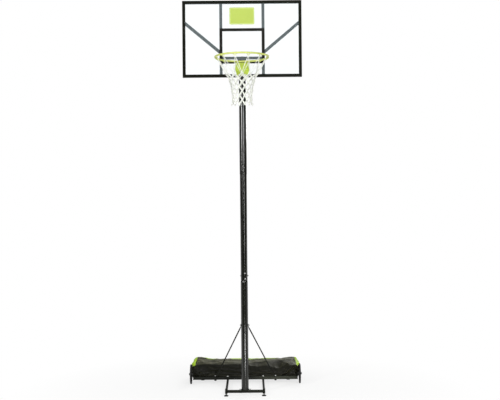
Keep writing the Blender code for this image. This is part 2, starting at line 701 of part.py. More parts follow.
def make_bag():
    """The sand bag: a crowned, closed cage that lies between the rails and swells just above them."""
    rail_face = RAIL_SIZE / 2 + SEAT_GAP
    front, back = RAIL_REACH + rail_face, REAR_RAIL_Y - rail_face
    bottom = RAIL_BOTTOM
    half_length = WHEEL_X - WHEEL_WIDTH / 2 - BAG_WHEEL_GAP
    half_depth = (back - front) / 2
    straight = (RAIL_SIZE + 0.010) / BAG_HEIGHT
    bm = bmesh.new()
    bmesh.ops.create_cube(bm, size=2.0)
    past_wheel = (RAIL_REACH + WHEEL_RADIUS + 0.008 - front) / half_depth - 1
    cuts = [
        (0, (-0.97, -0.84, -0.45, 0.0, 0.45, 0.84, 0.97)),
        (1, (-0.9, past_wheel, past_wheel + 0.25, 0.9)),
        (2, (-0.85, 2 * straight - 1, 0.6)),
    ]
    for axis, places in cuts:
        normal = Vector([1.0 if i == axis else 0.0 for i in range(3)])
        for place in places:
            geometry = bm.verts[:] + bm.edges[:] + bm.faces[:]
            bmesh.ops.bisect_plane(bm, geom=geometry, plane_co=normal * place, plane_no=normal)
    for vert in bm.verts:
        u, v, w = vert.co
        rise, rear = (w + 1) / 2, (v + 1) / 2
        swell = BAG_BULGE * math.sin(math.pi * max(0.0, rise - straight) / (1 - straight))
        spread = BAG_SPREAD * min(1.0, max(0.0, (v - past_wheel) / 0.25))
        setback = BAG_FRONT_SETBACK + (BAG_REAR_SETBACK - BAG_FRONT_SETBACK) * rear
        crown = BAG_CROWN * (1 - v * v) * (1 - abs(u) ** 3) * rise
        x = u * (half_length + spread - setback * rise ** 4)
        y = v * (half_depth + swell * (1 - abs(u) ** 4))
        z = rise * (BAG_HEIGHT + rear * (BAG_REAR_RISE + BAG_END_RISE * abs(u) ** 3)) + crown
        vert.co = (x, y, z)
    name = "sand_bag"
    place = (0.0, (front + back) / 2, bottom)
    bag = add_object(name, mesh_of(bm, name, 180.0), origin, BAG_FABRIC, place)
    soft = bag.modifiers.new("Soften", "SUBSURF")
    soft.levels = 1
    soft.render_levels = 1


make_front_frame()
make_levelling_feet()
make_rails()
make_wheel_mounts()
make_wheels()
make_rail_bolts()
make_mast_foot()
make_mast()
make_struts()
make_bag()

head = add_empty("head_slide", origin)


def make_upper_mast():
    """The upper tube with its two welded nuts, the clamp bolts in them, and the cap."""
    mesh = round_tube_mesh("mast_upper", MAST_RADIUS, MAST_WALL, MAST_UPPER_BOTTOM, MAST_TOP)
    upper = add_object("mast_upper", mesh, head, BLACK_STEEL)
    nut_inner = MAST_RADIUS - NUT_BITE
    nut_outer = nut_inner + NUT_HEIGHT
    outline = circle_points((0.0, 0.0), BOLT_HEAD, 6)
    heights = {place: MAST_UPPER_BOTTOM + rise for place, rise in HEIGHT_BOLT_RISES.items()}
    for place, height in heights.items():
        name = "height_nut_" + place
        mesh = plate_mesh(name, outline, NUT_HEIGHT)
        helper = helper_object(name, mesh, head, (0.0, -(nut_inner + nut_outer) / 2, height), FORWARD)
        combine(upper, helper, "UNION")
        # The tip stops just short of the middle section, on which it presses when it is tight.
        start = (0.0, -nut_outer - SEAT_GAP, height)
        bolt("height_bolt_" + place, head, start, FORWARD, nut_outer - MIDDLE_RADIUS, nut=False)
    fronts = [((0.0, -nut_outer - 0.01, z), (0.0, -MAST_RADIUS + 0.01, z)) for z in heights.values()]
    drill(upper, fronts, BOLT_RADIUS + HOLE_GAP)
    plug = MAST_RADIUS - MAST_WALL - SLIDE_GAP
    profile = [
        (0.0, SEAT_GAP + CAP_CROWN),
        (MAST_RADIUS * 0.55, SEAT_GAP + CAP_CROWN * 0.85),
        (MAST_RADIUS * 0.9, SEAT_GAP + CAP_CROWN * 0.45),
        (MAST_RADIUS, SEAT_GAP),
        (plug, SEAT_GAP),
        (plug, -CAP_PLUG),
        (0.0, -CAP_PLUG),
    ]
    mesh = turned_mesh("mast_cap", profile)
    add_object("mast_cap", mesh, head, BLACK_PLASTIC, (0.0, 0.0, MAST_TOP))


def mitred_bar(name, corner_of, parent):
    """One channel of the board's frame, cut at 45 degrees, open towards the panel."""
    lip, depth, wall = FRAME_LIP, FRAME_DEPTH, FRAME_WALL
    section = [
        (0.0, 0.0), (lip, 0.0), (lip, wall), (wall, wall),
        (wall, depth - wall), (lip, depth - wall), (lip, depth), (0.0, depth),
    ]
    rings = [[corner_of(end, inset, setback) for inset, setback in section] for end in (-1, 1)]
    bar = add_object(name, lofted_mesh(name, rings), parent, BLACK_STEEL)
    edge = bar.modifiers.new("Edge", "BEVEL")
    edge.width = 0.0005
    edge.segments = 1
    edge.limit_method = "ANGLE"
    edge.angle_limit = math.radians(50.0)
    return bar


def make_board_frame():
    half_width = BOARD_WIDTH / 2
    mitre = SEAT_GAP / 2

    def level_bar(height, inward):
        def corner_of(end, inset, setback):
            x = end * (half_width - inset - mitre)
            return (x, BOARD_FRONT_Y + setback, height + inward * inset)
        return corner_of

    def upright_bar(sign):
        def corner_of(end, inset, setback):
            middle = (BOARD_TOP + BOARD_BOTTOM) / 2
            z = middle + end * (BOARD_HEIGHT / 2 - inset - mitre)
            return (sign * (half_width - inset), BOARD_FRONT_Y + setback, z)
        return corner_of

    mitred_bar("frame_top", level_bar(BOARD_TOP, -1), head)
    bottom = mitred_bar("frame_bottom", level_bar(BOARD_BOTTOM, 1), head)
    for side, sign in SIDES:
        mitred_bar("frame_" + side, upright_bar(sign), head)
    drill(bottom, rim_bolt_holes(lower_only=True), BOLT_RADIUS + HOLE_GAP)


def rim_bolt_places():
    low = BOARD_BOTTOM + RIM_BOLT_MARGIN
    return [(sign * RIM_BOLT_SPREAD / 2, z) for z in (low, low + RIM_BOLT_RISE) for sign in (-1, 1)]


def rim_bolt_holes(lower_only=False):
    places = rim_bolt_places()[:2] if lower_only else rim_bolt_places()
    return [((x, BOARD_FRONT_Y - 0.01, z), (x, BOARD_BACK_Y + 0.006, z)) for x, z in places]


def make_panel():
    inset = FRAME_WALL + SEAT_GAP
    width, height = BOARD_WIDTH - 2 * inset, BOARD_HEIGHT - 2 * inset
    middle = (BOARD_TOP + BOARD_BOTTOM) / 2
    radius = BOLT_RADIUS + HOLE_GAP
    holes = [circle_points((x, z - middle), radius) for x, z in rim_bolt_places()]
    curve = plate_curve("board_panel", rectangle(width, height), PANEL_THICKNESS, holes)
    place = (0.0, (PANEL_FRONT_Y + PANEL_BACK_Y) / 2, middle)
    add_object("board_panel", curve, head, CLEAR_PANEL, place, FORWARD)
    outer = rectangle(TARGET_WIDTH, TARGET_HEIGHT)
    window = rectangle(TARGET_WIDTH - 2 * TARGET_BAR, TARGET_HEIGHT - 2 * TARGET_BAR)
    curve = plate_curve("target_rectangle", outer, TARGET_THICKNESS, [window])
    y = PANEL_FRONT_Y - SEAT_GAP - TARGET_THICKNESS / 2
    z = RIM_HEIGHT + TARGET_ABOVE_RIM + TARGET_HEIGHT / 2
    add_object("target_rectangle", curve, head, BLACK_STRIP, (0.0, y, z), FORWARD)


def make_back_bars():
    """Square tubes behind the panel, held in the mouths of the frame's channels."""
    channel_back = BOARD_BACK_Y - FRAME_WALL - SEAT_GAP
    inset = FRAME_WALL + SEAT_GAP
    inner_x = UPRIGHT_OFFSET - UPRIGHT_WIDTH / 2
    outer_x = UPRIGHT_OFFSET + UPRIGHT_WIDTH / 2
    brace_inner, brace_outer = outer_x + SEAT_GAP, BOARD_WIDTH / 2 - inset
    run = BOARD_WIDTH / 2 - FRAME_LIP - outer_x
    slope = (BRACE_OUTER_ABOVE_RIM - BRACE_INNER_ABOVE_RIM) / run
    tall = BRACE_HEIGHT * math.sqrt(1 + slope * slope) / 2
    for side, sign in SIDES:
        xs = sorted((sign * inner_x, sign * outer_x))
        low = (xs[0], BAR_FRONT_Y, BOARD_BOTTOM + inset)
        high = (xs[1], channel_back, BOARD_TOP - inset)
        square_tube("upright_" + side, low, high, 2, head, corner=0.002)
        rings = []
        for x, wall in ((brace_inner, 0.0), (brace_outer, 0.0), (brace_outer, 1.0), (brace_inner, 1.0)):
            middle = RIM_HEIGHT + BRACE_INNER_ABOVE_RIM + slope * (x - outer_x)
            rise = tall - wall * TUBE_WALL * math.sqrt(1 + slope * slope)
            front, back = BAR_FRONT_Y + wall * TUBE_WALL, channel_back - wall * TUBE_WALL
            corners = ((front, -rise), (back, -rise), (back, rise), (front, rise))
            rings.append([(sign * x, y, middle + z) for y, z in corners])
        mesh = lofted_mesh("brace_" + side, rings, hollow=True)
        add_object("brace_" + side, mesh, head, BLACK_STEEL)
    middle = RIM_HEIGHT + CROSS_BAR_ABOVE_RIM
    reach = inner_x - SEAT_GAP
    low = (-reach, BAR_FRONT_Y, middle - CROSS_BAR_HEIGHT / 2)
    high = (reach, BOARD_BACK_Y, middle + CROSS_BAR_HEIGHT / 2)
    bar = square_tube("cross_bar", low, high, 0, head, corner=0.002)
    spots = [sign * RIM_BOLT_SPREAD / 2 for sign in (-1, 1)]
    holes = [((x, BOARD_BACK_Y - 0.008, middle), (x, BOARD_BACK_Y + 0.01, middle)) for x in spots]
    drill(bar, holes, BOLT_RADIUS + HOLE_GAP)


def make_head_bracket():
    """The box that joins the mast to the cross bar and to the frame's lower channel."""
    cross_middle = RIM_HEIGHT + CROSS_BAR_ABOVE_RIM
    back, front = -(MAST_RADIUS + SEAT_GAP), BOARD_BACK_Y + SEAT_GAP
    low = (-HEAD_WIDTH / 2, front, BOARD_BOTTOM)
    high = (HEAD_WIDTH / 2, back, cross_middle + CROSS_BAR_HEIGHT / 2)
    box = square_tube("head_bracket", low, high, 2, head, HEAD_WALL, 0.004)
    holes = [((x, front - 0.01, z), (x, front + 0.006, z)) for x, z in rim_bolt_places()]
    spots = [sign * RIM_BOLT_SPREAD / 2 for sign in (-1, 1)]
    holes += [((x, front - 0.01, cross_middle), (x, back + 0.01, cross_middle)) for x in spots]
    drill(box, holes, BOLT_RADIUS + HOLE_GAP)
    grip = back + SEAT_GAP - BOARD_BACK_Y + 0.008
    for side, sign in SIDES:
        place = (sign * RIM_BOLT_SPREAD / 2, back + SEAT_GAP, cross_middle)
        bolt("head_bolt_" + side, head, place, (-math.pi / 2, 0.0, 0.0), grip, nut=False)


def make_rim_bracket():
    """A tapered plate on the board, with a flange, two gussets and a slanted hood that carry the rim."""
    width, foot = PLATE_WIDTH / 2, PLATE_FOOT / 2
    bottom, top = -PLATE_BELOW_RIM, FLANGE_THICKNESS / 2 + 0.001
    plate_back = BOARD_FRONT_Y - SEAT_GAP
    plate_front = plate_back - PLATE_THICKNESS
    knee = bottom + PLATE_TAPER
    outline = [(-foot, bottom), (foot, bottom), (foot + 0.010, bottom + 0.003), (width - 0.003, knee - 0.008)]
    outline += [(width, knee), (width, top), (-width, top), (-width, knee)]
    outline += [(-width + 0.003, knee - 0.008), (-foot - 0.010, bottom + 0.003)]
    radius = BOLT_RADIUS + HOLE_GAP
    holes = [circle_points((x, z - RIM_HEIGHT), radius) for x, z in rim_bolt_places()]
    mesh = plate_mesh("rim_bracket", outline, PLATE_THICKNESS, holes)
    place = (0.0, (plate_back + plate_front) / 2, RIM_HEIGHT)
    bracket = add_object("rim_bracket", mesh, head, LIME_STEEL, place, FORWARD)

    reach, edge = RIM_OUTER + SEAT_GAP, width - 0.001
    half_angle = math.degrees(math.asin(edge / reach))
    bite = 0.0015
    outline = arc_points((0.0, RIM_Y), reach, 90.0 + half_angle, 90.0 - half_angle, 10)
    outline += [(edge, plate_front + bite), (-edge, plate_front + bite)]
    opening = rectangle(WINDOW_WIDTH, WINDOW_DEPTH, (0.0, plate_front - WINDOW_MARGIN - WINDOW_DEPTH / 2))
    mesh = plate_mesh("rim_flange", outline, FLANGE_THICKNESS, [opening])
    combine(bracket, helper_object("rim_flange", mesh, head, (0.0, 0.0, RIM_HEIGHT)), "UNION")

    gusset = 0.003
    gusset_x = edge - gusset / 2 - 0.001
    nose = RIM_Y + math.sqrt(reach ** 2 - width ** 2) + 0.002
    low = RIM_HEIGHT - PLATE_BELOW_RIM + PLATE_TAPER
    outline = [
        (plate_front + bite, RIM_HEIGHT), (nose, RIM_HEIGHT),
        (nose, RIM_HEIGHT - GUSSET_NOSE), (plate_front + bite, low),
    ]
    for side, sign in SIDES:
        name = "rim_gusset_" + side
        mesh = plate_mesh(name, outline, gusset)
        helper = helper_object(name, mesh, head, (sign * gusset_x, 0.0, 0.0), SIDEWAYS)
        combine(bracket, helper, "UNION")

    rear, front = Vector((plate_front + bite, low)), Vector((nose, RIM_HEIGHT - GUSSET_NOSE))
    along = (front - rear).normalized()
    outward = Vector((-along.y, along.x))
    corners = [rear + outward * HOOD_STEP, front + outward * HOOD_STEP]
    corners += [front + outward * (HOOD_STEP - HOOD_THICKNESS), rear + outward * (HOOD_STEP - HOOD_THICKNESS)]
    hood_width = 2 * (gusset_x + gusset / 2 - HOOD_STEP)
    mesh = plate_mesh("rim_hood", [tuple(corner) for corner in corners], hood_width)
    combine(bracket, helper_object("rim_hood", mesh, head, (0.0, 0.0, 0.0), SIDEWAYS), "UNION")


def make_rim_bolts():
    plate_front = BOARD_FRONT_Y - SEAT_GAP - PLATE_THICKNESS
    start = plate_front - SEAT_GAP
    inner_wall = BOARD_BACK_Y + SEAT_GAP + HEAD_WALL
    grip = inner_wall + SEAT_GAP - start
    labels = ("lower_left", "lower_right", "upper_left", "upper_right")
    for label, (x, z) in zip(labels, rim_bolt_places()):
        bolt("rim_bolt_" + label, head, (x, start, z), FORWARD, grip)
    spacer_front, spacer_back = PANEL_BACK_Y + SEAT_GAP, BOARD_BACK_Y
    length = spacer_back - spacer_front
    bore = BOLT_RADIUS + HOLE_GAP
    for (side, _), (x, z) in zip(SIDES, rim_bolt_places()[2:]):
        name = "rim_spacer_" + side
        mesh = round_tube_mesh(name, bore + 0.003, 0.003, 0.0, length, 16)
        add_object(name, mesh, head, BLACK_PLASTIC, (x, spacer_back, z), FORWARD)


def make_rim():
    bpy.ops.mesh.primitive_torus_add(
        major_radius=RIM_INNER + RIM_ROD, minor_radius=RIM_ROD, major_segments=44, minor_segments=8,
    )
    ring = bpy.context.object
    mesh = ring.data
    bpy.data.objects.remove(ring, do_unlink=True)
    mesh.shade_smooth()
    add_object("rim", mesh, head, LIME_STEEL, (0.0, RIM_Y, RIM_HEIGHT))


def net_radius(share):
    """The net's outer radius at a share of its length: it leaves the rim, then closes to its waist."""
    mouth = RIM_INNER + RIM_ROD
    fall = 1 - math.exp(-3.4 * share)
    whole = 1 - math.exp(-3.4)
    return mouth - (mouth - NET_WAIST) * fall / whole


def make_net():
    top = RIM_HEIGHT - RIM_ROD - SEAT_GAP
    levels = 6
    outer, inner = [(RIM_INNER + RIM_ROD, top)], [(RIM_INNER + RIM_ROD - NET_WALL, top)]
    for i in range(levels + 1):
        share = i / levels
        height = top - NET_MOUTH_DROP - share * (NET_LENGTH - NET_MOUTH_DROP)
        radius = net_radius(share)
        outer.append((radius, height))
        inner.append((radius - NET_WALL, height))
    mesh = turned_mesh("net", outer + inner[::-1], 24, closed=True)
    add_object("net", mesh, head, WHITE_CORD, (0.0, RIM_Y, 0.0))


make_upper_mast()
make_board_frame()
make_panel()
make_back_bars()
make_head_bracket()
make_rim_bracket()
make_rim_bolts()
make_rim()
make_net()
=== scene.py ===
import json
import math
import random

import bmesh
import bpy
from mathutils import Matrix, Vector, noise
from mathutils.bvhtree import BVHTree


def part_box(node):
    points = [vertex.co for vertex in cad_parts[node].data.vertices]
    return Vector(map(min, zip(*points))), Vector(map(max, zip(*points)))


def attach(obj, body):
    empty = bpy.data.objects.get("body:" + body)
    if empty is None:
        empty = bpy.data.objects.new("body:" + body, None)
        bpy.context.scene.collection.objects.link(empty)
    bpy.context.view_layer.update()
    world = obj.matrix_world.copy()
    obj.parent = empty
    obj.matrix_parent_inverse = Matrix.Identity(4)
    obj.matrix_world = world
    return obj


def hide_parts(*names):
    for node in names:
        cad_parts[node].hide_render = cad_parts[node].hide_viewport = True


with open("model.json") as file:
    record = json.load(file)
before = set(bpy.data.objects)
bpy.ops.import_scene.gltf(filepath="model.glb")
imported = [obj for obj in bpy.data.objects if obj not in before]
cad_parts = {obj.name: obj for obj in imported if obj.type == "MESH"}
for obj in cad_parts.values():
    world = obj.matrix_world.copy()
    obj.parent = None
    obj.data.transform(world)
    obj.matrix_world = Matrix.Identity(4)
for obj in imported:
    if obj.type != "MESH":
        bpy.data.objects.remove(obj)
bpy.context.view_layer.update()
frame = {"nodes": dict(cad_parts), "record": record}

nodes = frame["nodes"]
print("frame loaded:", len(nodes), "nodes")


def boxCentre(name):
    low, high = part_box(name)
    return (low + high) / 2


def addObject(name, data):
    made = bpy.data.objects.new(name, data)
    bpy.context.scene.collection.objects.link(made)
    return made


mastAxis = boxCentre("mast_upper")
mastAxis.z = 0.0
rimCentre = boxCentre("rim")


# camera: looks straight back from in front of the board, a little to the right of the mast

cameraSettings = {
    "lens": 61.52,
    "farEnd": 200.0,
    "distance": 7.88,
    "height": 1.807,
    "right": 0.060,
    "roll": 0.5,
}


def makeCamera(s):
    data = bpy.data.cameras.new("camera")
    data.lens = s["lens"]
    data.clip_end = s["farEnd"]
    camera = addObject("camera", data)
    camera.location = (s["right"], mastAxis.y - s["distance"], s["height"])
    camera.rotation_euler = (math.radians(90.0), math.radians(s["roll"]), 0.0)
    bpy.context.scene.camera = camera


makeCamera(cameraSettings)
print("camera placed")


# helpers for shader nodes

def setInputs(tree, node, inputs):
    # links the sockets among the inputs and sets the plain values
    for label, value in inputs.items():
        if isinstance(value, bpy.types.NodeSocket):
            tree.links.new(value, node.inputs[label])
        else:
            node.inputs[label].default_value = value


def addNode(tree, kind, inputs=None, **settings):
    node = tree.nodes.new(kind)
    for label, value in settings.items():
        setattr(node, label, value)
    setInputs(tree, node, inputs or {})
    return node


def addMath(tree, operation, *values):
    node = addNode(tree, "ShaderNodeMath", dict(enumerate(values)), operation=operation)
    return node.outputs[0]


def addVector(tree, operation, *values, **named):
    inputs = {**dict(enumerate(values)), **named}
    node = addNode(tree, "ShaderNodeVectorMath", inputs, operation=operation)
    return node.outputs["Value" if operation in ("LENGTH", "DOT_PRODUCT") else "Vector"]


def addMix(tree, factor, a, b, kind="RGBA"):
    node = addNode(tree, "ShaderNodeMix", data_type=kind)
    setInputs(tree, node, {"Factor": factor, "A": a, "B": b})
    return node.outputs["Result"]


def addNoise(tree, vector, scale, detail, roughness):
    values = {"Vector": vector, "Scale": scale, "Detail": detail, "Roughness": roughness}
    return addNode(tree, "ShaderNodeTexNoise", values).outputs["Fac"]


def addMapRange(tree, value, fromLow, fromHigh, toLow=0.0, toHigh=1.0, **settings):
    values = {"From Min": fromLow, "From Max": fromHigh, "To Min": toLow, "To Max": toHigh, "Value": value}
    return addNode(tree, "ShaderNodeMapRange", values, **settings).outputs["Result"]


def addBump(tree, strength, distance, height):
    values = {"Strength": strength, "Distance": distance, "Height": height}
    return addNode(tree, "ShaderNodeBump", values).outputs["Normal"]


def splitAxes(tree, socket):
    return addNode(tree, "ShaderNodeSeparateXYZ", {0: socket}).outputs


def objectPlace(tree):
    return addNode(tree, "ShaderNodeTexCoord").outputs["Object"]


# studio: pale floor, white surroundings, soft lamps

plainWhite = (1.0, 1.0, 1.0, 1.0)
studioSettings = {
    "ambient": 0.34,
    "frontReflection": 0.07,
    "wallEdge": (0.80, 1.0),
    "floorEdge": (-3.0, 0.4),
    "floorReach": 60.0,
    "floorDrop": 0.0005,
    "floorColour": (0.86, 0.86, 0.85, 1.0),
    "shadowShare": 0.26,
    "shadowReach": (0.7, 2.2),
}
# each lamp stands at a turn round the mast, measured from the camera's side to the right
lamps = {
    "leftLamp": {"turn": -42, "away": 5.0, "height": 3.0, "aim": 2.5, "size": (0.5, 0.9), "power": 130},
    "rightLamp": {"turn": 28, "away": 5.0, "height": 2.9, "aim": 2.4, "size": (0.4, 0.9), "power": 92},
    "middleLamp": {"turn": 22, "away": 5.0, "height": 1.55, "aim": 1.6, "size": (0.5, 1.0), "power": 32},
    "lowLamp": {"turn": 13, "away": 1.5, "height": 0.18, "aim": 0.36, "size": (0.30, 0.32), "power": 10},
    "topLamp": {"turn": 10, "away": 2.5, "height": 5.6, "aim": 1.0, "size": (2.6, 2.0), "power": 50},
    "backLamp": {"turn": 160, "away": 5.0, "height": 3.6, "aim": 0.6, "size": (2.6, 2.0), "power": 118},
}


def showMix(tree, seen, unseen, shown, output):
    mix = addNode(tree, "ShaderNodeMixShader", {0: seen, 1: unseen.outputs[0], 2: shown.outputs[0]})
    addNode(tree, output, {"Surface": mix.outputs[0]})


def seenRay(tree):
    # 1 for the camera, for reflections and for what shows through the board
    path = addNode(tree, "ShaderNodeLightPath").outputs
    straight = addMath(tree, "MAXIMUM", path["Is Camera Ray"], path["Is Transmission Ray"])
    return addMath(tree, "MAXIMUM", straight, path["Is Glossy Ray"])


def glossLevel(tree, socket, edges, low):
    # reflections meet white behind the stand and a dim room elsewhere
    front = addMapRange(
        tree, splitAxes(tree, socket)["Y"], *edges, low, 1.0, interpolation_type="SMOOTHSTEP"
    )
    path = addNode(tree, "ShaderNodeLightPath").outputs
    return addMix(tree, path["Is Glossy Ray"], 1.0, front, "FLOAT")


def makeWorld(s):
    world = bpy.data.worlds.new("studio")
    bpy.context.scene.world = world
    world.use_nodes = True
    tree = world.node_tree
    tree.nodes.clear()
    place = addNode(tree, "ShaderNodeTexCoord").outputs["Generated"]
    level = glossLevel(tree, place, s["wallEdge"], s["frontReflection"])
    room = addNode(tree, "ShaderNodeBackground", {"Color": plainWhite, "Strength": s["ambient"]})
    wall = addNode(tree, "ShaderNodeBackground", {"Color": plainWhite, "Strength": level})
    showMix(tree, seenRay(tree), room, wall, "ShaderNodeOutputWorld")


def makeFloor(s):
    mesh = bpy.data.meshes.new("studioFloor")
    reach = s["floorReach"]
    corners = [(-reach, -reach, 0), (reach, -reach, 0), (reach, reach, 0), (-reach, reach, 0)]
    mesh.from_pydata(corners, [], [(0, 1, 2, 3)])
    floor = addObject("studioFloor", mesh)
    floor.location.z = -s["floorDrop"]
    material = bpy.data.materials.new("paleFloor")
    material.use_nodes = True
    tree = material.node_tree
    tree.nodes.clear()
    place = addNode(tree, "ShaderNodeNewGeometry").outputs["Position"]
    level = glossLevel(tree, place, s["floorEdge"], s["frontReflection"])
    matte = addNode(tree, "ShaderNodeBsdfDiffuse", {"Color": s["floorColour"]})
    glow = addNode(tree, "ShaderNodeEmission", {"Color": plainWhite, "Strength": level})
    length = addVector(tree, "LENGTH", place)
    fade = addMapRange(tree, length, *s["shadowReach"], 1.0 - s["shadowShare"], 1.0)
    seen = addMath(tree, "MULTIPLY", fade, seenRay(tree))
    showMix(tree, seen, matte, glow, "ShaderNodeOutputMaterial")
    mesh.materials.append(material)


def makeLamps(lamps):
    for name, s in lamps.items():
        data = bpy.data.lights.new(name, "AREA")
        data.shape = "RECTANGLE"
        data.size, data.size_y = s["size"]
        data.energy = s["power"]
        light = addObject(name, data)
        turn = math.radians(s["turn"])
        offset = Vector((math.sin(turn), -math.cos(turn), 0.0)) * s["away"]
        light.location = (mastAxis.x + offset.x, mastAxis.y + offset.y, s["height"])
        aim = Vector((mastAxis.x, mastAxis.y, s["aim"])) - light.location
        light.rotation_euler = aim.to_track_quat("-Z", "Y").to_euler()
        light.visible_camera = False


makeWorld(studioSettings)
makeFloor(studioSettings)
makeLamps(lamps)
bpy.context.scene.view_settings.view_transform = "Standard"
print("studio ready")


# shader groups that several finishes share

def newGroup(name, inputs, outputs):
    group = bpy.data.node_groups.new(name, "ShaderNodeTree")
    for label, kind in inputs.items():
        group.interface.new_socket(name=label, in_out="INPUT", socket_type="NodeSocket" + kind)
    for label, kind in outputs.items():
        group.interface.new_socket(name=label, in_out="OUTPUT", socket_type="NodeSocket" + kind)
    start = addNode(group, "NodeGroupInput").outputs
    end = addNode(group, "NodeGroupOutput")
    return group, start, end


coatLook = {
    "mottle": (9.0, 4.0, 0.6),
    "mottleSpan": (0.3, 0.7),
    "roughSpread": (0.86, 1.16),
    "dustSlope": (0.35, 1.0),
    "dustSpeck": (60.0, 5.0, 0.7),
    "dustSpan": (0.42, 0.68),
    "peel": (420.0, 2.0, 0.5),
    "peelDepth": 0.0004,
}


def makeCoatGroup(s):
    # powder coat: mottled tone, an orange-peel skin and a little settled dust on upward faces
    group, start, end = newGroup(
        "coatSkin",
        {
            "Dark": "Color", "Light": "Color", "Roughness": "Float",
            "Dust Colour": "Color", "Dust": "Float", "Peel": "Float",
        },
        {"Color": "Color", "Roughness": "Float", "Normal": "Vector"},
    )
    place = objectPlace(group)
    mottle = addNoise(group, place, *s["mottle"])
    tone = addMix(group, addMapRange(group, mottle, *s["mottleSpan"]), start["Dark"], start["Light"])
    normal = addNode(group, "ShaderNodeNewGeometry").outputs["Normal"]
    upward = addMapRange(group, splitAxes(group, normal)["Z"], *s["dustSlope"])
    speck = addMapRange(group, addNoise(group, place, *s["dustSpeck"]), *s["dustSpan"])
    settled = addMath(group, "MULTIPLY", upward, speck)
    dust = addMath(group, "MULTIPLY", settled, start["Dust"])
    spread = addMapRange(group, mottle, *s["mottleSpan"], *s["roughSpread"])
    peel = addNoise(group, place, *s["peel"])
    setInputs(group, end, {
        "Color": addMix(group, dust, tone, start["Dust Colour"]),
        "Roughness": addMath(group, "MULTIPLY", start["Roughness"], spread),
        "Normal": addBump(group, start["Peel"], s["peelDepth"], peel),
    })
    return group


def makeRoundGroup():
    # a true round surface for the mast's tubes: away from its axis wherever a face nearly looks that way
    group, start, end = newGroup("roundSkin", {"Axis": "Vector", "Limit": "Float"}, {"Normal": "Vector"})
    place = addNode(group, "ShaderNodeNewGeometry").outputs
    away = addVector(group, "SUBTRACT", place["Position"], start["Axis"])
    level = addVector(group, "MULTIPLY", away, (1.0, 1.0, 0.0))
    radial = addVector(group, "NORMALIZE", level)
    match = addVector(group, "DOT_PRODUCT", radial, place["True Normal"])
    turned = addVector(group, "SCALE", radial, Scale=addMath(group, "SIGN", match))
    near = addMath(group, "GREATER_THAN", addMath(group, "ABSOLUTE", match), start["Limit"])
    setInputs(group, end, {"Normal": addMix(group, near, place["Normal"], turned, "VECTOR")})
    return group


weaveLook = {
    "folds": (26.0, 6.0, 0.62),
    "foldTwist": 0.6,
    "foldSpan": (0.3, 0.7),
    "roughSpread": (0.40, 0.58),
    "threadHeight": 0.03,
    "patches": (7.0, 4.0, 0.6),
    "patchSpan": (0.35, 0.65),
    "bump": (0.55, 0.004),
}


def makeWeaveGroup(s):
    # plain weave under a thin coating, laid along whichever two axes the surface faces least
    group, start, end = newGroup(
        "wovenCloth",
        {"Dark": "Color", "Light": "Color", "Thread": "Float", "Crease": "Float"},
        {"Color": "Color", "Roughness": "Float", "Height": "Float"},
    )
    place = objectPlace(group)
    scaled = addVector(group, "SCALE", place, Scale=start["Thread"])
    wave = splitAxes(group, addVector(group, "SINE", scaled))
    normal = addNode(group, "ShaderNodeNewGeometry").outputs["Normal"]
    share = splitAxes(group, addVector(group, "ABSOLUTE", normal))
    total = None
    for across, first, second in (("X", "Y", "Z"), ("Y", "X", "Z"), ("Z", "X", "Y")):
        threads = addMath(group, "MULTIPLY", wave[first], wave[second])
        term = addMath(group, "MULTIPLY", threads, share[across])
        total = term if total is None else addMath(group, "ADD", total, term)
    folds = addNoise(group, place, *s["folds"])
    folds.node.inputs["Distortion"].default_value = s["foldTwist"]
    deep = addMath(group, "MULTIPLY", folds, start["Crease"])
    patches = addMapRange(group, addNoise(group, place, *s["patches"]), *s["patchSpan"])
    setInputs(group, end, {
        "Color": addMix(group, patches, start["Dark"], start["Light"]),
        "Roughness": addMapRange(group, folds, *s["foldSpan"], *s["roughSpread"]),
        "Height": addMath(group, "MULTIPLY_ADD", total, s["threadHeight"], deep),
    })
    return group


coatGroup = makeCoatGroup(coatLook)
roundGroup = makeRoundGroup()
weaveGroup = makeWeaveGroup(weaveLook)
print("shader groups made")


# finishes

def newMaterial(name, **values):
    material = bpy.data.materials.new(name)
    material.use_nodes = True
    shader = material.node_tree.nodes["Principled BSDF"]
    for label, value in values.items():
        shader.inputs[label.replace("_", " ")].default_value = value
    return material, material.node_tree, shader


def placeGroup(tree, group, values):
    return addNode(tree, "ShaderNodeGroup", values, node_tree=group).outputs


def makeCoat(name, specular, skin, shift=None):
    # shift paints light or shade into the colour: it scales the colour along one axis of the normal or of
    # the place
    material, tree, shader = newMaterial(name, Specular_IOR_Level=specular)
    coat = placeGroup(tree, coatGroup, skin)
    colour = coat["Color"]
    if shift is not None:
        source, axis, steps = shift
        place = addNode(tree, "ShaderNodeNewGeometry").outputs[source]
        level = addMapRange(tree, splitAxes(tree, place)[axis], *steps)
        # painted light or shade: the coat's colour is scaled by this level
        colour = addVector(tree, "SCALE", colour, Scale=level)
    setInputs(tree, shader, {"Base Color": colour, "Roughness": coat["Roughness"], "Normal": coat["Normal"]})
    return material


zincLook = {"grain": (120.0, 4.0, 0.6), "rough": (0.3, 0.7, 0.24, 0.38)}
cordLook = {"grain": (500.0, 3.0, 0.6), "span": (0.35, 0.65), "bump": (0.5, 0.0006)}
filmLook = {"grain": (30.0, 3.0, 0.5)}
sheetLook = {"grain": (2.4, 2.0, 0.5), "blend": 0.25, "alpha": (0.0, 1.0, 0.055, 0.7)}


def makeToned(name, s, dark, light, **values):
    # a grain drifts the colour between two tones, and may set the roughness or a bump
    material, tree, shader = newMaterial(name, **values)
    cloud = addNoise(tree, objectPlace(tree), *s["grain"])
    factor = addMapRange(tree, cloud, *s["span"]) if "span" in s else cloud
    inputs = {"Base Color": addMix(tree, factor, dark, light)}
    if "rough" in s:
        inputs["Roughness"] = addMapRange(tree, cloud, *s["rough"])
    if "bump" in s:
        inputs["Normal"] = addBump(tree, *s["bump"], cloud)
    setInputs(tree, shader, inputs)
    return material


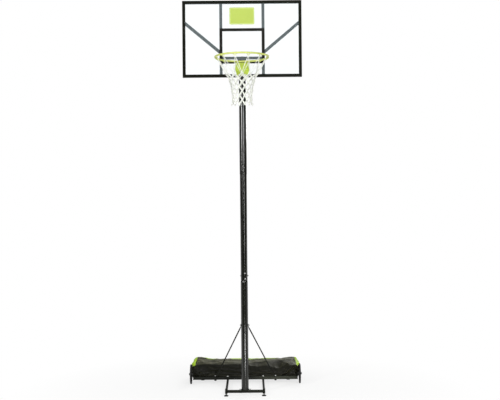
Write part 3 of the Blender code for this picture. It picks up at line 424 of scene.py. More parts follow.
def makeClearSheet(name, s, dark, light, **values):
    # hazy clear sheet: what lies behind it shows greyed, and towards grazing views the sheet turns opaque,
    # which lets its real gloss show and also paints a pale sheen of its own colour
    material = makeToned(name, s, dark, light, **values)
    tree = material.node_tree
    # painted sheen: the pale colour covers more of the sheet the more grazing the view
    edge = addNode(tree, "ShaderNodeLayerWeight", {"Blend": s["blend"]}).outputs["Fresnel"]
    setInputs(tree, tree.nodes["Principled BSDF"], {"Alpha": addMapRange(tree, edge, *s["alpha"])})
    return material


def makeCloth(name, weave, **values):
    material, tree, shader = newMaterial(name, **values)
    cloth = placeGroup(tree, weaveGroup, weave)
    bump = addBump(tree, *weaveLook["bump"], cloth["Height"])
    setInputs(tree, shader, {"Base Color": cloth["Color"], "Roughness": cloth["Roughness"], "Normal": bump})
    return material


blackPaint = {
    "Dark": (0.0045, 0.005, 0.0032, 1.0), "Light": (0.009, 0.010, 0.0062, 1.0),
    "Dust Colour": (0.2, 0.2, 0.18, 1.0), "Roughness": 0.36, "Peel": 0.12,
}
limePaint = {"Dust Colour": (0.68, 0.72, 0.42, 1.0), "Dust": 0.10, "Roughness": 0.38, "Peel": 0.18}
# each coat: its specular level, its skin and, for two of them, a shift that paints light or shade into the
# colour
coats = {
    "blackCoat": (0.10, {**blackPaint, "Dust": 0.02}),
    # painted highlight: the rail's colour grows up to four times lighter towards its right end, where a
    # lamp's reflection falls
    "railCoat": (0.16, {**blackPaint, "Dust": 0.04}, ("Position", "X", (0.05, 0.28, 0.8, 4.2))),
    "blackGloss": (0.52, {
        "Dark": (0.003, 0.0033, 0.002, 1.0), "Light": (0.006, 0.0066, 0.004, 1.0),
        "Dust": 0.0, "Roughness": 0.21, "Peel": 0.0,
    }),
    "limeCoat": (0.35, {
        **limePaint, "Dark": (0.47, 0.62, 0.085, 1.0), "Light": (0.56, 0.71, 0.12, 1.0),
    }),
    # painted light: a copy of the lime coat in other tones, whose faces turned downward, which lie in shade,
    # are painted lighter than its upright faces
    "bracketCoat": (0.20, {
        **limePaint, "Dark": (0.53, 0.69, 0.095, 1.0), "Light": (0.61, 0.76, 0.12, 1.0),
    }, ("Normal", "Z", (-0.55, -0.10, 1.0, 0.66))),
    "rimCoat": (0.35, {
        "Dark": (0.46, 0.52, 0.11, 1.0), "Light": (0.58, 0.62, 0.17, 1.0),
        "Dust Colour": (0.74, 0.76, 0.50, 1.0), "Dust": 0.10, "Roughness": 0.36, "Peel": 0.15,
    }),
    "blackMoulding": (0.20, {
        "Dark": (0.010, 0.010, 0.010, 1.0), "Light": (0.020, 0.020, 0.019, 1.0),
        "Dust Colour": (0.2, 0.2, 0.18, 1.0), "Dust": 0.08, "Roughness": 0.55, "Peel": 0.35,
    }),
    "blackTape": (0.20, {
        "Dark": (0.008, 0.008, 0.007, 1.0), "Light": (0.014, 0.014, 0.012, 1.0),
        "Dust": 0.0, "Roughness": 0.30, "Peel": 0.08,
    }),
}
finishes = {name: makeCoat(name, *coat) for name, coat in coats.items()}
finishes.update({
    "zinc": makeToned(
        "zincPlate", zincLook, (0.60, 0.61, 0.60, 1.0), (0.84, 0.84, 0.81, 1.0), Metallic=0.45,
    ),
    "dullZinc": makeToned(
        "dullZinc", zincLook, (0.20, 0.20, 0.20, 1.0), (0.36, 0.36, 0.35, 1.0), Metallic=0.6,
    ),
    "clearSheet": makeClearSheet(
        "clearSheet", sheetLook, (0.70, 0.84, 0.90, 1.0), (0.76, 0.88, 0.92, 1.0),
        Roughness=0.06, Specular_IOR_Level=0.35,
    ),
    "whiteCord": makeToned(
        "whiteCord", cordLook, (0.60, 0.62, 0.55, 1.0), (0.80, 0.81, 0.77, 1.0), Roughness=0.82,
    ),
    "paleFilm": makeToned(
        "paleFilm", cordLook, (0.60, 0.68, 0.36, 1.0), (0.66, 0.74, 0.42, 1.0), Roughness=0.82,
    ),
    "labelFilm": makeToned(
        "labelFilm", filmLook, (0.38, 0.48, 0.085, 1.0), (0.42, 0.52, 0.105, 1.0),
        Roughness=0.34, Specular_IOR_Level=0.3,
    ),
    "bagCloth": makeCloth("bagCloth", {
        "Dark": (0.0045, 0.0045, 0.0032, 1.0), "Light": (0.011, 0.011, 0.0075, 1.0),
        "Thread": 2600.0, "Crease": 0.7,
    }, Specular_IOR_Level=0.13, Sheen_Weight=0.24, Sheen_Roughness=0.42, Sheen_Tint=(0.84, 0.82, 0.42, 1.0)),
    "limeCloth": makeCloth("limeCloth", {
        "Dark": (0.30, 0.50, 0.02, 1.0), "Light": (0.46, 0.68, 0.04, 1.0),
        "Thread": 2600.0, "Crease": 0.4,
    }, Specular_IOR_Level=0.25),
})
glossTree = finishes["blackGloss"].node_tree
roundNormal = placeGroup(glossTree, roundGroup, {"Axis": mastAxis, "Limit": 0.985})["Normal"]
setInputs(glossTree, glossTree.nodes["Principled BSDF"], {"Normal": roundNormal})

slotFinishes = {
    "black_steel": "blackCoat",
    "zinc": "zinc",
    "lime_steel": "limeCoat",
    "black_plastic": "blackMoulding",
    "clear_panel": "clearSheet",
    "black_strip": "blackTape",
    "bag_fabric": "bagCloth",
    "white_cord": "whiteCord",
}
nodeFinishes = {
    "blackGloss": ["mast_lower", "mast_middle", "mast_upper"],
    "blackCoat": ["axle_bolt_left", "axle_bolt_right"],
    "bracketCoat": ["rim_bracket"],
    "railCoat": ["front_rail"],
    "dullZinc": [
        "joint_bolt_upper", "joint_bolt_lower", "joint_bolt_side",
        "height_bolt_upper", "height_bolt_lower", "strut_top_bolt",
    ],
}
ownFinish = {node: finish for finish, names in nodeFinishes.items() for node in names}
for part in frame["record"]["subparts"]:
    finish = ownFinish.get(part["node"], slotFinishes[part["material_slot"]])
    for slot in nodes[part["node"]].material_slots:
        slot.material = finishes[finish]
print("finishes on the frame's nodes")


# helpers for the scene's own pieces

def placePiece(name, mesh, finish, body, replaced=()):
    mesh.materials.clear()
    mesh.materials.append(finishes[finish])
    piece = addObject(name, mesh)
    if replaced:
        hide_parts(*replaced)
    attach(piece, body)
    return piece


def addPiece(name, bm, finish, body, replaced=(), sharp=40.0):
    # edges turn sharp past an angle in degrees
    bmesh.ops.recalc_face_normals(bm, faces=bm.faces)
    mesh = bpy.data.meshes.new(name)
    bm.to_mesh(mesh)
    bm.free()
    mesh.shade_smooth()
    mesh.set_sharp_from_angle(angle=math.radians(sharp))
    placePiece(name, mesh, finish, body, replaced)


def circlePoints(centre, axis, radius, count, side=None):
    # starts on the given side of the axis, or on any
    if side is None:
        side = axis.orthogonal().normalized()
    other = axis.cross(side)
    turns = [2 * math.pi * k / count for k in range(count)]
    return [centre + (side * math.cos(a) + other * math.sin(a)) * radius for a in turns]


def joinRings(bm, near, far):
    # faces between two rings of equal count; a ring of one repeated point gives triangles
    count = len(near)
    for k in range(count):
        corners = (near[k], near[(k + 1) % count], far[(k + 1) % count], far[k])
        bm.faces.new(list(dict.fromkeys(corners)))


def tubeAlong(bm, points, radius, sides=8, closed=False, ripple=0.0):
    # sweeps a round section along points, carrying its frame from one to the next
    points = [Vector(p) for p in points]
    count = len(points)
    rings = []
    side = None
    for i, point in enumerate(points):
        before = points[i - 1] if i > 0 or closed else point
        after = points[(i + 1) % count] if i < count - 1 or closed else point
        along = (after - before).normalized()
        if side is None:
            side = along.orthogonal()
        side = (side - along * side.dot(along)).normalized()
        swell = radius * (1 + ripple * (1 if i % 2 else -1))
        rings.append([bm.verts.new(p) for p in circlePoints(point, along, swell, sides, side)])
    for near, far in zip(rings, rings[1:]):
        joinRings(bm, near, far)
    first, last = rings[0], rings[-1]
    if not closed:
        bm.faces.new(first)
        bm.faces.new(last)
        return

    def gap(turn):
        return sum((last[(k + turn) % sides].co - first[k].co).length for k in range(sides))

    twist = min(range(sides), key=gap)  # how far the section has turned on its way round
    joinRings(bm, last[twist:] + last[:twist], first)


def addBlock(bm, matrix, bevel=0.0, segments=2):
    # a unit cube set in place by the matrix
    made = bmesh.ops.create_cube(bm, size=1.0, matrix=matrix)
    if bevel:
        edges = list({e for v in made["verts"] for e in v.link_edges})
        bmesh.ops.bevel(bm, geom=edges, offset=bevel, segments=segments, profile=0.5, affect="EDGES")


def addBox(bm, low, high, bevel=0.0):
    matrix = Matrix.Translation((low + high) / 2) @ Matrix.Diagonal((*(high - low), 1.0))
    addBlock(bm, matrix, bevel, segments=3)


def clamp(value):
    return max(0.0, min(1.0, value))


def easeStep(value):
    value = clamp(value)
    return value * value * (3 - 2 * value)


# hoop: the ring with its twelve wire loops

hoop = {
    "inner": 0.225,
    "rod": 0.008,
    "ringSteps": 96,
    "ringSides": 16,
    "loops": 12,
    "loopSteps": 12,
    "loopWire": 0.0028,
    "loopWidth": 0.030,
    "loopDrop": 0.013,
    "loopReach": 0.011,
    "loopInset": 0.004,
    "loopSeat": 0.55,
}


def ringPoint(angle, radius, height):
    return Vector((rimCentre.x + radius * math.sin(angle), rimCentre.y - radius * math.cos(angle), height))


def makeHoop(s):
    bm = bmesh.new()
    middle = s["inner"] + s["rod"]
    turns = [2 * math.pi * i / s["ringSteps"] for i in range(s["ringSteps"])]
    ring = [ringPoint(turn, middle, rimCentre.z) for turn in turns]
    tubeAlong(bm, ring, s["rod"], s["ringSides"], closed=True)
    for i in range(s["loops"]):
        centre = 2 * math.pi * (i + 0.5) / s["loops"]
        half = s["loopWidth"] / 2 / middle
        route = []
        for k in range(s["loopSteps"] + 1):
            t = k / s["loopSteps"] * 2 - 1
            fall = 1 - abs(t) ** 3
            radius = middle - s["loopInset"] - s["loopReach"] * fall
            height = rimCentre.z - s["rod"] * s["loopSeat"] - s["loopDrop"] * fall
            route.append(ringPoint(centre + half * t, radius, height))
        tubeAlong(bm, route, s["loopWire"])
    addPiece("hoopRing", bm, "rimCoat", "head", ["rim"])


makeHoop(hoop)
print("hoop made")


# net: cords knotted into diamonds, hung from the wire loops

net = {
    # radius and height against the ring: the wire loops, then each row of knots
    "rows": [
        (0.216, -0.018), (0.1435, -0.143), (0.119, -0.180), (0.1070, -0.217), (0.0975, -0.254),
        (0.0900, -0.293), (0.0850, -0.333), (0.0830, -0.372), (0.0850, -0.407),
    ],
    "tilt": 0.08,
    "tiltReach": 0.18,
    "cord": 0.0046,
    "leg": 0.0026,
    "sides": 7,
    "steps": 5,
    "drift": 0.0012,
    "knot": 0.0072,
    "knotSpread": (0.92, 1.1),
    "knotStretch": 1.15,
    "tail": (0.088, -0.416),
    "tailTurn": (-0.25, 0.25),
    "tailOut": (-0.006, 0.012),
    "tailFall": (-0.006, 0.006),
    "tailRise": 0.002,
    "tailKnot": (0.0042, 0.0042, 0.0052),
}


def netPoint(column, radius, drop):
    # the net hangs a little lower in front
    angle = 2 * math.pi * column / hoop["loops"]
    point = ringPoint(angle, radius, rimCentre.z + drop)
    point.z += net["tilt"] * (point.y - rimCentre.y) * min(1.0, -drop / net["tiltReach"])
    return point


def cordRoute(a, b, rise, seed):
    # a cord between two knots, a little off the straight line
    random.seed(seed)
    drift = Vector((random.uniform(-1, 1), random.uniform(-1, 1), 0)) * net["drift"]
    route = []
    for k in range(net["steps"] + 1):
        t = k / net["steps"]
        bow = math.sin(math.pi * t)
        point = a.lerp(b, t) + drift * bow
        point.z += rise * bow
        route.append(point)
    return route


def addKnot(bm, place, size):
    matrix = Matrix.Translation(place) @ Matrix.Diagonal((*size, 1.0))
    bmesh.ops.create_icosphere(bm, subdivisions=2, radius=1.0, matrix=matrix)


def makeNet(s):
    # each row of knots stands half a loop aside of the one above
    bm = bmesh.new()
    columns = range(hoop["loops"])
    rows = [(0.0 if i % 2 else 0.5, place) for i, place in enumerate(s["rows"])]
    seed = 0
    for i, ((shift, upper), (_, lower)) in enumerate(zip(rows, rows[1:])):
        for column in columns:
            for aside in (-0.5, 0.5):
                seed += 1
                a = netPoint(column + shift, *upper)
                b = netPoint(column + shift + aside, *lower)
                tubeAlong(bm, cordRoute(a, b, 0.0, seed), s["cord"] if i else s["leg"], s["sides"])
    for shift, place in rows[1:]:
        for column in columns:
            seed += 1
            random.seed(seed)
            size = s["knot"] * random.uniform(*s["knotSpread"])
            addKnot(bm, netPoint(column + shift, *place), (size, size, size * s["knotStretch"]))
    shift, place = rows[-1]
    for column in columns:
        seed += 1
        random.seed(seed)
        start = netPoint(column + shift, *place)
        turn = random.uniform(*s["tailTurn"])
        out = s["tail"][0] + random.uniform(*s["tailOut"])
        fall = s["tail"][1] + random.uniform(*s["tailFall"])
        end = netPoint(column + shift + turn, out, fall)
        tubeAlong(bm, cordRoute(start, end, s["tailRise"], seed), s["leg"], s["sides"])
        addKnot(bm, end, s["tailKnot"])
    addPiece("netCords", bm, "whiteCord", "head", ["net"], sharp=60.0)


makeNet(net)
print("net made")


# label: the plain lime panel high on the board's front, with a pale line round its edge

label = {
    "width": 0.227,
    "height": 0.155,
    "above": 0.4390,
    "corner": 0.012,
    "cornerSteps": 8,
    "film": 0.0005,
    "line": 0.0022,
    "inset": 0.0065,
    "lineHeight": 0.0002,
    "sunk": 0.0001,
}


def roundedOutline(width, height, corner, steps):
    points = []
    for sideX, sideZ, start in ((1, 1, 0), (-1, 1, 90), (-1, -1, 180), (1, -1, 270)):
        for k in range(steps + 1):
            angle = math.radians(start + 90 * k / steps)
            x = sideX * (width / 2 - corner) + corner * math.cos(angle)
            points.append((x, sideZ * (height / 2 - corner) + corner * math.sin(angle)))
    return points


def addPlate(bm, outlines, centre, front, back):
    # a full plate inside one outline, or a flat frame between two
    rings = []
    for outline in outlines:
        places = [[(centre.x + x, y, centre.z + z) for x, z in outline] for y in (front, back)]
        rings.append([[bm.verts.new(place) for place in side] for side in places])
    for near, far in rings:
        joinRings(bm, near, far)
    for side in (0, 1):
        if len(rings) == 1:
            bm.faces.new(rings[0][side])
        else:
            joinRings(bm, rings[0][side], rings[1][side])


def makeLabel(s):
    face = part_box("board_panel")[0].y
    front = face - s["film"]
    centre = Vector((0.0, face, rimCentre.z + s["above"]))

    def outline(step):
        size = (s["width"] - 2 * step, s["height"] - 2 * step)
        return roundedOutline(*size, s["corner"] - step / 2, s["cornerSteps"])

    bm = bmesh.new()
    addPlate(bm, [outline(0.0)], centre, front, face - s["sunk"])
    addPiece("labelPanel", bm, "labelFilm", "head")
    bm = bmesh.new()
    edges = [outline(s["inset"]), outline(s["inset"] + s["line"])]
    addPlate(bm, edges, centre, front - s["lineHeight"], front + s["sunk"])
    addPiece("labelLine", bm, "paleFilm", "head")


makeLabel(label)
print("label made")


# sand bag: a coated duffel lying between the rails, filled, creased and trimmed

railLow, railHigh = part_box("front_rail")
bag = {
    "bottom": railLow.z + 0.0006,
    "front": railHigh.y + 0.0012,
    "back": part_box("rear_rail")[0].y - 0.0012,
    "railTop": railHigh.z,
    "topFront": 0.1740,
    "topBack": 0.1960,
    "endPeak": 0.0210,
    "topSag": (-0.05, 0.4, 0.0060),
    # the ends keep clear of the wheels in front and widen behind them
    "wheelHalf": 0.5235,
    "wheelBack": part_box("wheel_right")[1].y + 0.006,
    "endHalf": 0.5450,
    "endEase": 0.03,
    "frontNarrow": 0.006,
    "rearNarrow": 0.058,
    # the form before it is filled, and its filling
    "corner": 0.024,
    "cuts": (90, 26, 14),
    "inset": 0.004,
    "under": 0.002,
    "voxel": 0.0065,
    "quality": 5,
    "mass": 0.25,
    "pressure": 3.2,
    "grow": -0.045,
    "stretch": 20.0,
    "shear": 8.0,
    "bending": 1.2,
    "frames": 20,
    "cap": 0.013,
    # creases of the slack fabric: height, and how fast each kind changes along x, y and z
    "longFold": 0.0056,
    "longRun": Matrix.Diagonal((4.5, 11.0, 26.0)),
    "slantFold": 0.0044,
    "slantRun": Matrix(((13.0, 0.0, 9.0), (0.0, 9.0, 0.0), (-5.0, 0.0, 17.0))),
    "slantStart": Vector((0.0, 0.0, 7.0)),
    "slantLeast": 0.5,
    "slantReach": 0.5,
    "smallFold": 0.0014,
    "smallRun": Matrix.Diagonal((38.0, 30.0, 55.0)),
    "foldLevel": 0.6,
    # the slack upper front edge: place, width and depth of each sag
    "sags": [(0.34, 0.09, 0.052), (0.12, 0.13, 0.040), (-0.30, 0.06, 0.010)],
    "sagDepth": 0.15,
    "sagFrom": 0.075,
    "sagSpan": 0.09,
    # folds of the front face: start and end as x and z, width, rise
    "frontFolds": [
        ((0.478, 0.162), (0.365, 0.064), 0.013, -0.026),
        ((0.488, 0.162), (0.530, 0.064), 0.010, -0.020),
        ((0.330, 0.110), (0.060, 0.135), 0.014, 0.004),
        ((-0.470, 0.165), (-0.400, 0.070), 0.012, 0.006),
        ((-0.360, 0.150), (-0.080, 0.128), 0.012, 0.006),
        ((-0.300, 0.122), (-0.060, 0.098), 0.010, -0.011),
        ((-0.450, 0.100), (-0.330, 0.122), 0.010, -0.009),
        ((0.300, 0.098), (0.080, 0.112), 0.010, -0.012),
    ],
    "frontDepth": 0.05,
    # pressed flat on its bars and against the rails, less so above them
    "swell": 0.007,
    "swellFrom": 0.006,
    "swellSpan": 0.03,
    "boltSwell": 0.002,
    "boltTop": 0.09,
    "boltSpans": [(0.1545, 0.1945), (0.27, 0.32)],
    "endSpare": 0.002,
    "endRun": 0.015,
    # lime band over the rear top edge, in degrees round that edge, and the places where it hides
    "trim": 0.0014,
    "trimUnder": 0.0008,
    "trimRounds": 4,
    "trimRelax": 0.6,
    "edgeIn": 0.035,
    "edgeDown": 0.045,
    "bandEnds": (-0.452, 0.452),
    "bandReach": -46.0,
    "bandHide": 50.0,
    "bandEase": 0.012,
    "bandDrop": 62.0,
    "bandAbove": 0.03,
    "bandCovered": [(-0.500, -0.405), (-0.270, -0.170), (0.345, 0.500)],
    # lime patches on the upper slope of the ends
    "patchFrom": {-1: 0.499, 1: 0.507},
    "patchLow": 0.159,
    "patchLevel": 0.17,
    "patchSlant": 0.55,
    "patchTurn": 0.010,
    "patchInset": (0.014, 0.018),
    "piping": 0.0024,
    "pipingSeat": 0.0006,
    "pipingSides": 7,
    "pipingInset": 0.010,
    "pipingBelow": 0.003,
    "pipingTurn": 3.0,
    "pipingHalf": 0.472,
    "pipingSteps": (60, 179),
    "endRay": 0.70,
    "bandRay": 0.12,
}


def bagTopHeight(s, along, depth):
    # along runs -1..1 over the length, depth 0..1 from front to back
    place, width, sag = s["topSag"]
    height = s["topFront"] + (s["topBack"] - s["topFront"]) * depth
    height += s["endPeak"] * depth * abs(along) ** 4
    return height - sag * depth * math.exp(-((along - place) / width) ** 2)


def bagHalfLength(s, y, rise):
    behind = easeStep((y - s["wheelBack"]) / s["endEase"])
    half = s["wheelHalf"] + (s["endHalf"] - s["wheelHalf"]) * behind
    depth = clamp((y - s["front"]) / (s["back"] - s["front"]))
    narrow = s["frontNarrow"] + (s["rearNarrow"] - s["frontNarrow"]) * depth
    return half - narrow * max(0.0, rise) ** 3


def makeBagForm(s):
    # a box with rounded edges, drawn into the bag's outline before it is filled
    depth = s["back"] - s["front"]
    half = Vector((s["endHalf"], depth / 2, (s["topBack"] - s["bottom"]) / 2))
    bm = bmesh.new()
    bmesh.ops.create_cube(bm, size=2.0)
    for axis, cuts in enumerate(s["cuts"]):
        normal = Vector([1.0 if i == axis else 0.0 for i in range(3)])
        for i in range(1, cuts):
            geometry = bm.verts[:] + bm.edges[:] + bm.faces[:]
            point = normal * (2 * i / cuts - 1)
            bmesh.ops.bisect_plane(bm, geom=geometry, plane_co=point, plane_no=normal)
    for vert in bm.verts:
        place = Vector([vert.co[i] * half[i] for i in range(3)])
        core = Vector([max(s["corner"] - half[i], min(half[i] - s["corner"], place[i])) for i in range(3)])
        away = place - core
        if away.length > 1e-6:
            place = core + away.normalized() * s["corner"]
        along = place.x / half.x
        y = (s["front"] + s["back"]) / 2 + place.y * (1 - 2 * s["inset"] / depth)
        rise = (place.z + half.z) / (2 * half.z)
        top = bagTopHeight(s, along, (y - s["front"]) / depth) - s["inset"]
        z = s["bottom"] + s["under"] + (top - s["bottom"]) * rise
        vert.co = (along * (bagHalfLength(s, y, rise) - s["inset"]), y, z)
    return bm


def applyModifiers(form):
    depsgraph = bpy.context.evaluated_depsgraph_get()
    mesh = bpy.data.meshes.new_from_object(form.evaluated_get(depsgraph))
    form.modifiers.clear()
    form.data = mesh
    return mesh


def fillBag(bm, s):
    # the fabric is a little longer than the form and swells under the filling, which creases it
    mesh = bpy.data.meshes.new("bagForm")
    bm.to_mesh(mesh)
    bm.free()
    form = addObject("bagForm", mesh)
    remesh = form.modifiers.new("evenMesh", "REMESH")
    remesh.mode = "VOXEL"
    remesh.voxel_size = s["voxel"]
    even = applyModifiers(form)
    before = [v.co.copy() for v in even.vertices]
    cloth = form.modifiers.new("filling", "CLOTH")
    settings = cloth.settings
    settings.quality = s["quality"]
    settings.mass = s["mass"]
    settings.use_pressure = True
    settings.uniform_pressure_force = s["pressure"]
    settings.shrink_min = s["grow"]
    settings.tension_stiffness = s["stretch"]
    settings.compression_stiffness = s["stretch"]
    settings.shear_stiffness = s["shear"]
    settings.bending_stiffness = s["bending"]
    settings.effector_weights.gravity = 0.0
    cloth.collision_settings.use_collision = False
    cloth.point_cache.frame_start = 1
    cloth.point_cache.frame_end = s["frames"]
    for step in range(1, s["frames"] + 1):
        bpy.context.scene.frame_set(step)
    filled = applyModifiers(form)
    bpy.context.scene.frame_set(1)
    for vert, start in zip(filled.vertices, before):
        move = vert.co - start
        if move.length > s["cap"]:
            vert.co = start + move.normalized() * s["cap"]
    return form


def foldRidge(place, start, end, width):
    # 1 on the line between two points of the front face, fading to 0 beside it
    along = Vector(end) - Vector(start)
    away = place - Vector(start)
    away -= along * clamp(away.dot(along) / along.length_squared)
    return math.exp(-(away.length / width) ** 2)


def sagFront(co, s):
    # the slack upper front edge hangs down where the filling is thin
    x, y, z = co
    near = easeStep(1 - (y - s["front"]) / s["sagDepth"])
    tall = clamp((z - s["sagFrom"]) / s["sagSpan"])
    fall = sum(depth * math.exp(-((x - place) / width) ** 2) for place, width, depth in s["sags"])
    return Vector((x, y, z - fall * near * tall))


def creaseHeight(co, s):
    # long folds along the bag, short ones towards its ends, and the folds of the front face
    x, y, z = co
    long = 1 - abs(noise.noise(s["longRun"] @ co)) * 2
    slant = 1 - abs(noise.noise(s["slantRun"] @ co + s["slantStart"])) * 2
    ends = min(1.0, abs(x) / s["slantReach"]) ** 3
    height = s["longFold"] * (long - s["foldLevel"])
    height += s["slantFold"] * (s["slantLeast"] + ends) * (slant - s["foldLevel"])
    height += s["smallFold"] * noise.noise(s["smallRun"] @ co)
    if y < s["front"] + s["frontDepth"]:
        for start, end, width, rise in s["frontFolds"]:
            height += rise * foldRidge(Vector((x, z)), start, end, width)
    return height


def pressBag(co, s):
    # flat on its bars and against the rails, clear of the wheels and their bolts
    x, y, z = co
    z = max(z, s["bottom"])
    swell = s["swell"] * clamp((z - s["railTop"] - s["swellFrom"]) / s["swellSpan"])
    atBolt = any(low < abs(x) < high for low, high in s["boltSpans"])
    frontSwell = min(swell, s["boltSwell"]) if atBolt and z < s["boltTop"] else swell
    y = min(max(y, s["front"] - frontSwell), s["back"] + swell)
    behind = clamp((y - s["wheelBack"]) / s["endRun"])
    limit = s["wheelHalf"] + (s["endHalf"] + s["endSpare"] - s["wheelHalf"]) * behind
    return Vector((min(max(x, -limit), limit), y, z))


def makeBag(s):
    form = fillBag(makeBagForm(s), s)
    smooth = form.modifiers.new("smooth", "SUBSURF")
    smooth.levels = 1
    smooth.render_levels = 1
    mesh = applyModifiers(form)
    bpy.data.objects.remove(form)
    moved = [sagFront(vert.co, s) + vert.normal * creaseHeight(vert.co, s) for vert in mesh.vertices]
    for vert, place in zip(mesh.vertices, moved):
        vert.co = pressBag(place, s)
    mesh.name = "bagShell"
    mesh.shade_smooth()
    piece = placePiece("bagShell", mesh, "bagCloth", "base", ["sand_bag"])
    return piece


def coverSkin(name, inside, s):
    # a strip of fabric sewn over the bag: the faces of its skin that lie inside, lifted a little
    source = bmesh.new()
    source.from_mesh(bagShell.data)
    outer = [face for face in source.faces if not inside(face.calc_center_median())]
    bmesh.ops.delete(source, geom=outer, context="FACES")
    for _ in range(s["trimRounds"]):
        moved = {}
        for vert in source.verts:
            ends = [edge.other_vert(vert).co for edge in vert.link_edges if edge.is_boundary]
            if len(ends) == 2:
                moved[vert] = vert.co.lerp((ends[0] + ends[1]) / 2, s["trimRelax"])
        for vert, place in moved.items():
            vert.co = place
    source.normal_update()
    bm = bmesh.new()
    over = {vert: bm.verts.new(vert.co + vert.normal * s["trim"]) for vert in source.verts}
    under = {vert: bm.verts.new(vert.co - vert.normal * s["trimUnder"]) for vert in source.verts}
    for face in source.faces:
        bm.faces.new([over[vert] for vert in face.verts])
        bm.faces.new([under[vert] for vert in reversed(face.verts)])
    for edge in source.edges:
        if edge.is_boundary:
            a, b = edge.verts
            bm.faces.new((over[a], over[b], under[b], under[a]))
    source.free()
    addPiece(name, bm, "limeCloth", "base", sharp=50.0)


def onBand(place, s):
    # over the rear top edge, further back where folds cover the band
    reach = s["bandReach"]
    for start, end in s["bandCovered"]:
        before = 1 + math.exp((start - place.x) / s["bandEase"])
        beyond = 1 + math.exp((place.x - end) / s["bandEase"])
        reach += s["bandHide"] / before / beyond
    away = (place.y - (s["back"] - s["edgeIn"]), place.z - (s["topBack"] - s["edgeDown"]))
    low, high = s["bandEnds"]
    tall = place.z > s["railTop"] + s["bandAbove"]
    return low < place.x < high and tall and reach < math.degrees(math.atan2(*away)) < s["bandDrop"]


def onPatch(place, sign, s):
    # the upper slope of the bag's end
    slant = sign * place.x + (place.z - s["patchLevel"]) * s["patchSlant"]
    depth = (place.y - s["front"]) / (s["back"] - s["front"])
    first, last = s["front"] + s["patchInset"][0], s["back"] - s["patchInset"][1]
    beyond = slant > s["patchFrom"][sign] + s["patchTurn"] * depth
    return beyond and place.z > s["patchLow"] and first < place.y < last


def makePiping(s):
    # sewn round the ends and along the lower edge of the band
    mesh = bagShell.data
    skin = BVHTree.FromPolygons([v.co for v in mesh.vertices], [p.vertices for p in mesh.polygons])
    bm = bmesh.new()

    def sewOn(rays):
        route = []
        for origin, direction in rays:
            place, normal, _, _ = skin.ray_cast(origin, direction)
            if place is None:
                place, normal, _, _ = skin.find_nearest(origin)
            route.append(place + normal * s["pipingSeat"])
        tubeAlong(bm, route, s["piping"], s["pipingSides"])

    endSteps, backSteps = s["pipingSteps"]
    inset = s["pipingInset"]
    run = s["back"] - s["front"] - 2 * inset
    for sign in (-1, 1):
        start = Vector((sign * s["endRay"], 0.0, s["patchLow"] - s["pipingBelow"]))
        rays = []
        for i in range(endSteps + 1):
            start.y = s["front"] + inset + run * i / endSteps
            rays.append((start.copy(), Vector((-sign, 0.0, 0.0))))
        sewOn(rays)
    turn = math.radians(s["bandDrop"] + s["pipingTurn"])
    out = Vector((0.0, math.sin(turn), math.cos(turn)))
    edge = Vector((0.0, s["back"] - s["edgeIn"], s["topBack"] - s["edgeDown"]))
    half = s["pipingHalf"]
    rays = []
    for i in range(backSteps + 1):
        edge.x = -half + 2 * half * i / backSteps
        rays.append((edge + out * s["bandRay"], -out))
    sewOn(rays)
    addPiece("bagPiping", bm, "bagCloth", "base", sharp=60.0)


bagShell = makeBag(bag)
coverSkin("bagBand", lambda place: onBand(place, bag), bag)
coverSkin("bagPatchLeft", lambda place: onPatch(place, -1, bag), bag)
coverSkin("bagPatchRight", lambda place: onPatch(place, 1, bag), bag)
makePiping(bag)
print("bag made:", len(bagShell.data.vertices), "points")


# small parts of the steelwork: plugs, caps, washers, welds, threads and wheel ribs

fittings = {
    "gap": 0.0004,
    "touch": 0.0002,
    "plug": 0.0025,
    "plugBevel": 0.0009,
    "plugTongue": 0.012,
    "plugWall": 0.0019,
    "cap": (0.0118, 0.0125),
    # shares of the cap's radius and height
    "capShape": [(0.0, 0.0), (1.0, 0.0), (1.0, 0.45), (0.94, 0.68), (0.74, 0.88), (0.4, 0.98), (0.0, 1.0)],
    "washer": (0.0082, 0.0112, 0.0011),
    "washerShape": (0.7, 0.3),
    "washerGap": 0.0001,
    "footWasher": 0.9,
    "turnSteps": 28,
}


def latheAt(bm, centre, axis, profile, steps):
    # turns (radius, height) pairs round an axis and closes the run of rings
    rings = []
    for radius, height in profile:
        middle = centre + axis * height
        if radius == 0.0:
            rings.append([bm.verts.new(middle)] * steps)
        else:
            rings.append([bm.verts.new(p) for p in circlePoints(middle, axis, radius, steps)])
    if profile[0][0] > 0.0:
        rings.append(rings[0])
    for near, far in zip(rings, rings[1:]):
        joinRings(bm, near, far)


def addPlug(bm, box, axis, sign, s):
    # a cap over the open end of a tube, and the tongue that holds it inside
    end = box[1][axis] if sign > 0 else box[0][axis]
    cover = (s["gap"], s["touch"], s["plug"], s["plugBevel"])
    tongue = (s["plugWall"], s["gap"], -s["plugTongue"], 0.0)
    for margin, near, far, bevel in (cover, tongue):
        low = box[0] + Vector((margin,) * 3)
        high = box[1] - Vector((margin,) * 3)
        low[axis], high[axis] = sorted((end + sign * near, end + sign * far))
        addBox(bm, low, high, bevel)


def makePlugs(s):
    bm = bmesh.new()
    ends = [("rear_rail", 0, -1), ("rear_rail", 0, 1), ("side_tube_left", 1, 1), ("side_tube_right", 1, 1)]
    for name, axis, sign in ends:
        addPlug(bm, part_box(name), axis, sign, s)
    addPiece("tubePlugs", bm, "blackMoulding", "base")


def makeCaps(s):
    bm = bmesh.new()
    radius, height = s["cap"]
    profile = [(radius * out, -height * down) for out, down in s["capShape"]]
    for name in ("strut_foot_bolt_left", "strut_foot_bolt_right"):
        centre = boxCentre(name)
        centre.z = railLow.z - s["gap"]
        latheAt(bm, centre, Vector((0, 0, 1)), profile, s["turnSteps"])
    addPiece("boltCaps", bm, "blackMoulding", "base", sharp=30.0)


